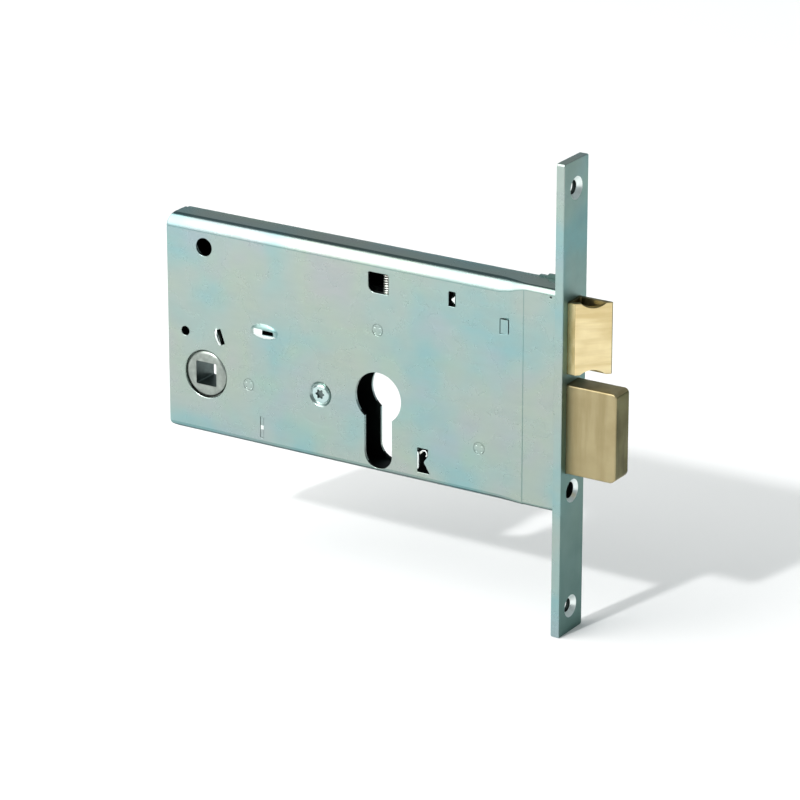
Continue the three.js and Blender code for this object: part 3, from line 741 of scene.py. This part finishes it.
def cover_screw():
    low, high = node_box("cover_screw")
    under = FACE_Y + DISH["depth"]
    head = (high.x - low.x) / 2
    shank, edge, chamfer = 1.9, 0.08, 0.3
    crown = [(0.9, 0.02), (0.6, 0.08), (0.3, 0.2), (edge, 0.4), (0, 0.6)]
    profile = [(0, low.y)] + [(head - inset, low.y + drop) for inset, drop in crown]
    profile += [(head, under - edge), (head - edge, under), (shank, under),
                (shank, high.y - chamfer), (shank - chamfer, high.y), (0, high.y)]
    screw = new_piece("seat_screw", moved(lathe(profile), SCREW.x, 0, SCREW.z))
    lobes, tip_radius, valley, sides = 6, 1.75, 0.16, 72
    star = []
    for i in range(sides):
        angle = 2 * pi * i / sides
        reach = tip_radius * (1 - valley + valley * cos(lobes * angle))
        star.append((SCREW.x + reach * cos(angle), SCREW.z + reach * sin(angle)))
    top = low.y - 0.3
    socket = plate([(star, [(0, 0), (0, SOCKET_FLOOR)])], facing_front(top))
    cut(screw, new_piece("socket", socket))
    screw = place_piece(screw, "case", "screw_zinc", ["cover_screw"])
    repaint(screw, "socket_shade", lambda middle, normal: (
        hypot(middle.x - SCREW.x, middle.z - SCREW.z) < tip_radius + 0.05
        and low.y + 0.1 < middle.y < top + SOCKET_FLOOR + 0.1))


def staked_post(node):
    """Post riveted flush into both sheets, each end set by four punch marks."""
    low, high = node_box(node)
    radius = (high.x - low.x) / 2
    rings = [0, 0.3, 0.6, 0.9, 1.2, 1.45, 1.65, 1.8]
    end = [(r, 0) for r in rings] + [(radius - 0.06, 0.03), (radius, 0.12)]
    front = [(r, low.y + depth) for r, depth in end]
    back = [(r, high.y - depth) for r, depth in end[::-1]]
    verts, faces = lathe(front + back, 48)
    mark_reach, mark_depth, mark_radius = 1.45, 0.3, 0.5
    shaped = []
    for x, y, z in verts:
        dent = 0
        for k in range(4):
            angle = pi / 4 + k * pi / 2
            away = hypot(x - mark_reach * cos(angle), z - mark_reach * sin(angle))
            dent = max(dent, mark_depth * (1 - smooth_step(away / mark_radius)))
        inward = 1 if y < 0 else -1
        at_end = min(y - low.y, high.y - y) < 0.05
        shaped.append((x, y + (inward * dent if at_end else 0), z))
    middle = node_middle(node)
    piece = new_piece(node + "_staked", moved((shaped, faces), middle.x, 0, middle.z))
    place_piece(piece, "case", "steel_blank", [node], "case_zinc")


# ---- bolts

def deadbolt():
    low, high = node_box("deadbolt_head")
    outline = fillet([(low.x, low.z, 0.8), (high.x, low.z, 2.4), (high.x, high.z, 1.6),
                      (low.x, high.z, 0.8)], 7)
    rivets = [node_middle(n) for n in ("deadbolt_rivet_upper", "deadbolt_rivet_lower")]
    loops = [(outline, soft_edge(2 * BOLT_HALF, 0.5, steps=4))]
    loops += [(circle(r.x, r.z, RIVET_RADIUS, 32), soft_edge(2 * BOLT_HALF, 0.1)) for r in rivets]
    block = new_piece("dead_block", plate(loops, facing_front(-BOLT_HALF)))
    tail_slot(block, low, high, low.x - 1, -0.3)
    block = place_piece(block, "deadbolt", "deadbolt_brass", ["deadbolt_head"])
    # Painted shade: the bolt's end face is darker.
    repaint(block, "deadbolt_end", lambda middle, normal: normal.x > 0.9)


def tail_slot(block, low, high, x0, x1):
    """Cuts the slot that the bolt's tail stands in."""
    slot = box_piece(x0, x1, -TAIL_SLOT_HALF, TAIL_SLOT_HALF, low.z - 1, high.z + 1)
    cut(block, slot)


def box_piece(x0, x1, y0, y1, z0, z1):
    outline = [(x0, z0), (x1, z0), (x1, z1), (x0, z1)]
    return new_piece("block", plate([(outline, [(0, 0), (0, y1 - y0)])], facing_front(y0)))


def prism_piece(outline, z0, z1, rim=None):
    """The outline (x, y) as a solid that hangs down from z1 to z0."""
    rim = rim or [(0, 0), (0, z1 - z0)]
    return new_piece("prism", plate([(outline, rim)], lambda u, v, depth: (u, v, z1 - depth)))


def latch():
    """Bevelled latch head, hollow from both ends, with a scoop in each end of its bevel."""
    low, high = node_box("latch_head")
    bevel_start, tip, wall, depth = 2.6, 0.8, 1.5, 7
    wedge = fillet([(low.x, -BOLT_HALF, 0.4), (bevel_start, -BOLT_HALF, 0.6),
                    (high.x, BOLT_HALF - tip, 0.39), (high.x, BOLT_HALF, 0.39),
                    (low.x, BOLT_HALF, 0.4)])
    head = prism_piece(wedge, low.z, high.z, soft_edge(high.z - low.z, 0.25))
    head.name = "latch_block"
    slope = atan2(2 * BOLT_HALF - tip, high.x - bevel_start)
    inset = wall / sin(slope)
    front, back = wall - BOLT_HALF, BOLT_HALF - wall
    front_end = bevel_start - inset + wall / tan(slope)
    back_end = high.x - inset - (tip + wall) / tan(slope) + 0.4
    pocket = fillet([(0.6, front, 0.4), (front_end, front, 0.4), (back_end, back, 0.3),
                     (0.6, back, 0.4)])
    middle = ((bevel_start + high.x) / 2, -tip / 2)
    radius, scoop_depth, scoop_half = 6, 1.7, 3
    lift = radius - scoop_depth
    for z, sign in ((high.z, 1), (low.z, -1)):
        ends = sorted((z - sign * depth, z + sign))
        cut(head, prism_piece(pocket, *ends))
        verts, faces = lathe(mirrored([(0, -scoop_half), (radius, -scoop_half)]), 96)
        turn = Matrix.Rotation(slope, 4, "Z")
        verts = [turn @ Vector(v) + Vector((*middle, z + sign * lift)) for v in verts]
        scoop = new_piece("scoop", (verts, faces))
        keep_back = box_piece(low.x, high.x + 3, back, BOLT_HALF + 4, low.z - 9, high.z + 9)
        cut(scoop, keep_back)
        cut(head, scoop)
    tail_slot(head, low, high, low.x - 1, -0.7)
    rivet = node_middle("latch_rivet")
    bore = lathe(mirrored([(0, -6), (RIVET_RADIUS, -6)]), 32)
    cut(head, new_piece("bore", moved(bore, rivet.x, 0, rivet.z)))
    merge_flat_faces(head)
    round_edges(head, 0.18, 32)
    head = place_piece(head, "latch", "latch_brass", ["latch_head"])
    # Faces other than the bevel: darker cast brass, deepened with painted shade in the hollows.
    repaint(head, "latch_cast", lambda middle, normal: not (normal.x > 0.3 and normal.y < -0.3))
    # Painted shade: the latch's front side strip is a darker copy of the ground brass.
    repaint(head, "latch_side",
            lambda middle, normal: normal.y < -0.97 and middle.y < 1 - BOLT_HALF)


# ---- follower

def follower():
    """Hub with its two journals, the arm that pulls the latch and the nose for its spring."""
    high = node_box("follower")[1]
    sink = 0.18
    front = sink - high.y
    face_radius, hub_radius, hub_half = 5.9, 10.2, FLANGE_END - 0.15
    arm_half, socket_half, socket_edge = 3.4, 7, SQUARE / 2
    ring = [(face_radius, 0.1), (6.6, 0.02), (7.0, 0.04), (7.35, 0.14), (7.65, 0.32), (7.9, 0.56),
            (8.08, 0.86), (JOURNAL, 1.2)]
    journal = [(0, front + 0.1)] + [(r, front + y) for r, y in ring]
    hub = new_piece("lever_hub", lathe(mirrored(journal), 96))
    chamfer = 0.2
    disc = [(0, -hub_half), (hub_radius - chamfer, -hub_half), (hub_radius, chamfer - hub_half)]
    join(hub, new_piece("disc", lathe(mirrored(disc), 96)))
    arm_end = 2.4
    tip_x, tip_z = high.x - arm_end - FOLLOWER_AXIS.x, high.z - arm_end - FOLLOWER_AXIS.z
    for end_x, end_z, root, end in ((tip_x, tip_z, 1.6, arm_end), (-0.5, -14.5, 1.7, 2.0)):
        lean = degrees(atan2(end_z, end_x))
        side = Vector((-end_z, end_x)).normalized() * root
        outline = [tuple(side), tuple(-side)] + arc(end_x, end_z, end, lean - 75, lean + 75, 16)
        arm = plate([(outline, soft_edge(2 * arm_half, 0.3))], facing_front(-arm_half))
        join(hub, new_piece("arm", arm))
    square = rectangle(-socket_edge, socket_edge, -socket_edge, socket_edge, 0.4)
    socket = plate([(square, [(0, 0), (0, 2 * socket_half)])], facing_front(-socket_half))
    cut(hub, new_piece("socket", socket))
    hub.data.transform(Matrix.Translation(FOLLOWER_AXIS * MM))
    hub = place_piece(hub, "follower_body", "follower_zamak", ["follower"])
    repaint(hub, "socket_shade", lambda middle, normal: (
        abs(normal.y) < 0.3
        and hypot(middle.x - FOLLOWER_AXIS.x, middle.z - FOLLOWER_AXIS.z) < face_radius))


# ---- springs

def coil(axis_point, axis, length, mean, wire_radius, turns, closed=1.0):
    """Helix points along axis, the pitch closing up over the last turns at both ends."""
    steps = int(turns * 28)
    along = Vector(axis)
    across = along.orthogonal().normalized()
    other = along.cross(across)
    tight = 2 * wire_radius
    loose = (length - 2 * closed * tight) / (turns - 2 * closed)
    points = []
    for i in range(steps + 1):
        t = turns * i / steps
        at = tight * min(t, closed) + loose * min(max(t - closed, 0), turns - 2 * closed)
        at += tight * max(t - turns + closed, 0)
        angle = 2 * pi * t
        points.append(Vector(axis_point) + along * at
                      + mean * (across * cos(angle) + other * sin(angle)))
    return points


def latch_spring():
    low, high = node_box("latch_spring")
    radius = 0.35
    mean = (high.z - low.z) / 2 - radius
    start = (low.x + radius, 0, (low.z + high.z) / 2)
    shape = wire(coil(start, (1, 0, 0), high.x - low.x - 2 * radius, mean, radius, 7), radius)
    piece = place_piece(new_piece("latch_coil", shape), "case", "spring_steel", ["latch_spring"])
    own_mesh(piece)


def tumbler_spring():
    """Coil between the case's top and the tumbler, drawn out as the tumbler sinks."""
    low, high = node_box("tumbler_spring")
    radius = 0.26
    mean = (high.x - low.x) / 2 - radius
    x, y = (low.x + high.x) / 2 - 0.2, (low.y + high.y) / 2
    length = high.z - low.z - 2 * radius
    shape = wire(coil((x, y, low.z + radius), (0, 0, 1), length, mean, radius, 12), radius, 10)
    piece = dress(new_piece("tumbler_coil", shape), "spring_steel", ["tumbler_spring"])
    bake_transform(piece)


def follower_spring():
    """Torsion spring round its post: one leg stands on the case, the other pushes the nose back."""
    post = node_middle("spring_post")
    mean, radius, rise = 3, 0.4, 3.2
    sweep = 3 * 2 * pi + radians(143)
    standing, pushing, lean, bend_reach = 13.4, 21.8, 0.03, 3.8
    leg_steps, coil_steps, push_steps = 12, 96, 32
    path = []
    for i in range(leg_steps + 1):
        below = standing * (1 - i / leg_steps)
        path.append((mean - lean * below, -rise / 2, -below))
    for i in range(1, coil_steps + 1):
        angle = sweep * i / coil_steps
        height = rise * (i / coil_steps - 0.5)
        path.append((mean * cos(angle), height, mean * sin(angle)))
    end = Vector(path[-1])
    for i in range(1, push_steps + 1):
        path.append(end + Vector((-sin(sweep), 0, cos(sweep))) * pushing * i / push_steps)
    shape = moved(wire(path, radius), post.x, 0, post.z)
    piece = dress(new_piece("lever_spring", shape), "spring_steel", ["follower_spring"])
    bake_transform(piece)


# ---- small parts behind the face

def flat_piece(name, outline, y0, y1):
    """A plate that faces the front, from points (x, z), between two depths."""
    return new_piece(name, plate([(outline, soft_edge(y1 - y0, 0.06))], facing_front(y0)))


def anchor_tab():
    """Tab of an inner bracket, just behind the face in its slot, with a painted highlight in its middle."""
    x0, x1 = ANCHOR["x"]
    heights = ANCHOR["z"]
    outline = [(x0, z) for z in heights[::-1]] + [(x1, z) for z in heights]
    struts = [(1, 6), (2, 5)]
    rim = [(0.06, 0), (0, 0.06), (0, 3.4)]
    shape = plate([(outline, rim)], facing_front(FACE_Y + 0.14), struts)
    tab = place_piece(new_piece("anchor_tab", shape), "case", "case_zinc")
    repaint(tab, "bright_zinc",
            lambda middle, normal: heights[1] < middle.z < heights[2] and normal.y < -0.5)


def seat_hook():
    """Pointed end of the latch spring's seat, which shows in the small slot near the top."""
    low, high = node_box("spring_seat")
    outline = [(high.x, 18.2), (high.x, 20.7), (low.x - 0.2, 19.5)]
    hook = flat_piece("seat_hook", outline, FACE_Y + 0.02, low.y + 0.5)
    # The hook is near white: a painted highlight.
    place_piece(hook, "case", "case_zinc", finish="bright_zinc")


def leaf_hook():
    """Curled end of the leaf spring under the deadbolt's tail, and a lip beside it, in the slot next
    to the keyhole."""
    path = [Vector(p) for p in ((-53.9, -35.3), (-53.2, -34.6), (-52.2, -34.4), (-51.5, -34.8),
                                (-51.3, -35.6), (-51.7, -36.4))]
    left, right = [], []
    for i, point in enumerate(path):
        along = heading(path, i)
        side = Vector((-along.y, along.x)) * 0.23
        left.append(tuple(point + side))
        right.append(tuple(point - side))
    hook = flat_piece("leaf_hook", left + right[::-1], FACE_Y + 0.15, FACE_Y + 2.2)
    edge = [(-54.95, -41.3), (-54.45, -40.6), (-54.45, -35.6), (-54.95, -34.9)]
    lip = flat_piece("leaf_lip", edge, FACE_Y + 0.05, FACE_Y + 0.9)
    for piece in (hook, lip):
        # Hook and lip are near white: painted highlights.
        place_piece(piece, "case", "spring_steel", finish="bright_zinc")


# ---- materials

def metal(name, color, roughness, metallic=1.0):
    material = bpy.data.materials.new(name)
    material.use_nodes = True
    tree = material.node_tree
    shader = tree.nodes["Principled BSDF"]
    shader.inputs["Metallic"].default_value = metallic
    shader.inputs["Base Color"].default_value = (*color, 1)
    shader.inputs["Roughness"].default_value = roughness
    return material, tree, shader


def add_node(tree, kind, values, **sources):
    """A new node, with values set on inputs by name and each source linked to the input it names."""
    node = tree.nodes.new("ShaderNode" + kind)
    for name, value in values.items():
        node.inputs[name].default_value = value
    for name, source in sources.items():
        tree.links.new(source, node.inputs[name])
    return node


def noise(tree, scale, detail=3, stretch=(1, 1, 1), offset=0.0):
    """Noise in the object's own metres, stretched along its axes."""
    place = add_node(tree, "TexCoord", {}).outputs["Object"]
    mapping = {"Scale": stretch, "Location": (offset, offset, offset)}
    place = add_node(tree, "Mapping", mapping, Vector=place).outputs["Vector"]
    return add_node(tree, "TexNoise", {"Scale": scale, "Detail": detail}, Vector=place).outputs["Fac"]


def ramp(tree, source, stops):
    """Color ramp from (position, color) stops."""
    node = add_node(tree, "ValToRGB", {}, Fac=source)
    elements = node.color_ramp.elements
    while len(elements) < len(stops):
        elements.new(0.5)
    for element, (position, color) in zip(elements, stops):
        element.position = position
        element.color = (*color, 1)
    return node.outputs["Color"]


def spread(tree, source, low, high, start=0.3, end=0.7):
    """source, from start to end, spread over low to high."""
    values = {"From Min": start, "From Max": end, "To Min": low, "To Max": high}
    return add_node(tree, "MapRange", values, Value=source).outputs["Result"]


def tint(tree, base, over, share):
    """base with the color over mixed in by share."""
    mix = add_node(tree, "Mix", {})
    mix.data_type = "RGBA"
    mix.clamp_factor = True
    tree.links.new(share, mix.inputs["Factor"])
    tree.links.new(base, mix.inputs["A"])
    mix.inputs["B"].default_value = (*over, 1)
    return mix.outputs["Result"]


def height_share(tree, none_at, all_at):
    """0 at one height, in metres, and 1 at the other."""
    place = add_node(tree, "TexCoord", {}).outputs["Object"]
    split = add_node(tree, "SeparateXYZ", {}, Vector=place)
    return spread(tree, split.outputs["Z"], 0, 1, none_at, all_at)


def bump(tree, shader, source, strength, height):
    values = {"Strength": strength, "Distance": height * MM}
    node = add_node(tree, "Bump", values, Height=source)
    tree.links.new(node.outputs["Normal"], shader.inputs["Normal"])


def zinc(name, base, roughness, fade=None):
    """Clear-passivated zinc plate: pale blue-green, with faint patches of other colors in its film."""
    material, tree, shader = metal(name, base, roughness)

    def toned(red, green, blue):
        return base[0] * red, base[1] * green, base[2] * blue

    film = ramp(tree, noise(tree, 30, 2.5), [
        (0.36, toned(0.74, 0.99, 1.08)),
        (0.45, toned(0.90, 1.01, 1.03)),
        (0.52, base),
        (0.60, toned(1.04, 1.01, 0.95)),
        (0.70, toned(1.08, 0.96, 1.01)),
    ])
    lilac = spread(tree, noise(tree, 44, 2, offset=3.1), 0, 0.6, 0.52, 0.70)
    film = tint(tree, film, toned(1.04, 0.94, 1.08), lilac)
    green = spread(tree, noise(tree, 60, 2, offset=7.7), 0, 0.5, 0.54, 0.74)
    film = tint(tree, film, toned(0.96, 1.06, 0.92), green)
    streak = spread(tree, noise(tree, 420, 5, (0.25, 1, 1)), 0, 0.30, 0.40, 0.75)
    film = tint(tree, film, toned(0.86, 0.88, 0.88), streak)
    # Painted shade: the film darkens towards the bottom by fade, as on the forend's face.
    if fade:
        film = tint(tree, film, toned(*fade["tone"]), height_share(tree, *fade["z"]))
    tree.links.new(film, shader.inputs["Base Color"])
    cloudy = noise(tree, 120, 4, offset=1.3)
    tree.links.new(spread(tree, cloudy, roughness - 0.05, roughness + 0.08), shader.inputs["Roughness"])
    bump(tree, shader, noise(tree, 700, 4, (0.5, 1, 1)), 0.22, 0.03)
    return material


def brass(name, color, roughness, dark, grain, along):
    """Cast brass with the marks of grinding drawn out along one axis, given by small numbers."""
    material, tree, shader = metal(name, color, roughness)
    marks = noise(tree, grain, 4, along)
    base = ramp(tree, marks, [(0.34, dark), (0.56, color)])
    blotch = noise(tree, 110, 3, offset=2.0)
    base = tint(tree, base, dark, spread(tree, blotch, 0, 0.6, 0.45, 0.75))
    tree.links.new(base, shader.inputs["Base Color"])
    tree.links.new(spread(tree, blotch, roughness - 0.05, roughness + 0.10), shader.inputs["Roughness"])
    bump(tree, shader, marks, 0.30, 0.06)
    return material


def mottled(name, color, roughness, grain=500, contrast=0.24):
    """Bare, drawn or tumbled metal with slight mottling."""
    material, tree, shader = metal(name, color, roughness)
    mottle = noise(tree, grain, 4)
    dark = tuple(c * (1 - contrast) for c in color)
    tree.links.new(ramp(tree, mottle, [(0.35, dark), (0.65, color)]), shader.inputs["Base Color"])
    tree.links.new(spread(tree, noise(tree, grain / 3), roughness - 0.06, roughness + 0.08),
                   shader.inputs["Roughness"])
    bump(tree, shader, mottle, 0.2, 0.02)
    return material


# Each finish by its name: base color and roughness first, then what sets it apart.
ZINC = (0.335, 0.411, 0.386)
ZINCS = {
    "case_zinc": (ZINC, 0.26),
    "forend_zinc": (ZINC, 0.28),
    "screw_zinc": ((0.48, 0.62, 0.60), 0.20),
    # A darker copy of the zinc: painted shade and dark reflections.
    "dull_zinc": ((0.23, 0.32, 0.30), 0.36),
    # The darkest copy of the zinc: painted deep shade and dark reflections.
    "deep_zinc": ((0.075, 0.12, 0.12), 0.40),
    # Forend's outer face: painted shade, darker still towards its lower end.
    "forend_face": ((0.225, 0.335, 0.310), 0.42, {"z": (0.04, -0.085), "tone": (0.44, 0.56, 0.55)}),
}
BRASSES = {
    "latch_brass": ((0.94, 0.79, 0.47), 0.38, (0.74, 0.58, 0.29), 300, (0.12, 0.12, 1)),
    # A darker copy of the latch brass: painted shade on its front side strip.
    "latch_side": ((0.66, 0.55, 0.30), 0.40, (0.50, 0.40, 0.19), 420, (1, 1, 0.5)),
    # Darker cast brass with painted shade.
    "latch_cast": ((0.30, 0.25, 0.12), 0.42, (0.17, 0.135, 0.06), 420, (1, 1, 0.5)),
    "deadbolt_brass": ((0.385, 0.325, 0.185), 0.44, (0.31, 0.255, 0.135), 260, (1, 1, 0.12)),
    # A darker copy of the bolt's brass: painted shade on its end face.
    "deadbolt_end": ((0.15, 0.143, 0.062), 0.44, (0.10, 0.092, 0.04), 300, (1, 1, 0.3)),
}
BARE_METALS = {
    "follower_zamak": ((0.33, 0.37, 0.34), 0.34),
    "steel_blank": ((0.33, 0.36, 0.37), 0.40),
    "spring_steel": ((0.74, 0.76, 0.70), 0.30),
    # Near white: painted highlights.
    "bright_zinc": ((0.86, 0.93, 0.91), 0.32, 500, 0.12),
    # Near black: painted shade inside the case, in the countersunk holes and on the spring seat.
    "oiled_sheet": ((0.014, 0.020, 0.019), 0.55, 300),
    "socket_shade": ((0.13, 0.17, 0.165), 0.36, 400),
}
FINISHES = {}
for kind, table in ((zinc, ZINCS), (brass, BRASSES), (mottled, BARE_METALS)):
    FINISHES.update({name: kind(name, *values) for name, values in table.items()})


# ---- the lock

case_shell()
case_back()
forend()
cover_screw()
for post in POSTS:
    staked_post(post)
deadbolt()
latch()
follower()
latch_spring()
tumbler_spring()
follower_spring()
anchor_tab()
seat_hook()
leaf_hook()

SLOT_OF = {part["node"]: part["material_slot"] for part in frame["record"]["subparts"]}
for name, node in frame["nodes"].items():
    if not node.hide_render:
        # Painted shade: the spring seat, seen through its slot, is near black.
        finish = "oiled_sheet" if name == "spring_seat" else SLOT_OF[name]
        paint(node, finish)
        round_edges(node, 0.15, SHARP_ANGLE)
        even_normals(node, False)


# ---- floor, light and camera

def look_at(obj, position, target):
    obj.location = position
    obj.rotation_euler = (Vector(target) - Vector(position)).to_track_quat("-Z", "Y").to_euler()


def stage_floor():
    size = 12
    mesh = bpy.data.meshes.new("floor")
    corners = [(-size, -size), (size, -size), (size, size), (-size, size)]
    mesh.from_pydata([(x, y, FOREND_LOW.z * MM) for x, y in corners], [], [(0, 1, 2, 3)])
    material, _, shader = metal("floor_white", (0.9, 0.9, 0.9), 0.9, 0.0)
    shader.inputs["Specular IOR Level"].default_value = 0.1
    mesh.materials.append(material)
    floor = add_object("floor", mesh)


def lamp(name, kind, energy, color):
    data = bpy.data.lights.new(name, kind)
    data.energy = energy
    data.color = color
    return add_object(name, data)


def studio():
    """Dim bluish room, one soft sun from the front, a ceiling that only fills the shadows, and a long
    softbox that arches over from the front left and shows as the white band in the case's top bend."""
    world = bpy.data.worlds.new("studio")
    bpy.context.scene.world = world
    world.use_nodes = True
    background = world.node_tree.nodes["Background"]
    background.inputs["Color"].default_value = (0.88, 0.98, 1.0, 1)
    background.inputs["Strength"].default_value = 0.38
    bpy.context.scene.view_settings.view_transform = "Standard"

    sun = lamp("key", "SUN", 1.7, (1, 1, 1))
    sun.data.angle = radians(3.5)
    sunlight = Vector((0.158, 0.772, -0.616))
    look_at(sun, -sunlight, (0, 0, 0))

    middle = Vector((-0.07, 0, 0))
    toward = Vector((-0.50, -0.58, 0.65)).normalized()
    upward = Vector((0, 0.75, 0.67))
    upward = (upward - toward * upward.dot(toward)).normalized()
    across = upward.cross(toward)
    radiance, width, height, distance = 3.1, 1.15, 2.5, 1.5
    box = lamp("softbox", "AREA", radiance * pi * width * height, (1, 0.97, 0.95))
    box.data.shape = "RECTANGLE"
    box.data.size = width
    box.data.size_y = height
    box.visible_camera = False
    turn = Matrix((across, upward, toward)).transposed().to_4x4()
    box.matrix_world = Matrix.Translation(middle + toward * distance) @ turn

    ceiling_size, fill_radiance = 7, 0.19
    ceiling = lamp("ceiling", "AREA", fill_radiance * pi * ceiling_size ** 2, (1, 0.985, 0.97))
    ceiling.data.size = ceiling_size
    ceiling.visible_camera = False
    ceiling.visible_glossy = False
    look_at(ceiling, (0, 0.6, 3.2), (0, 0.6, 0))


def camera():
    """Three-quarter view from the forend's side, looking down on the lock."""
    yaw, pitch, distance = radians(32), radians(20.43), 1.4
    target = Vector((-0.06498, 0, -0.02097))
    level = cos(pitch)
    ahead = Vector((-sin(yaw) * level, cos(yaw) * level, -sin(pitch)))
    data = bpy.data.cameras.new("camera")
    data.sensor_width = 36
    data.lens = 193.05
    data.clip_end = 30
    view = add_object("camera", data)
    look_at(view, target - ahead * distance, target)
    bpy.context.scene.camera = view


stage_floor()
studio()
camera()
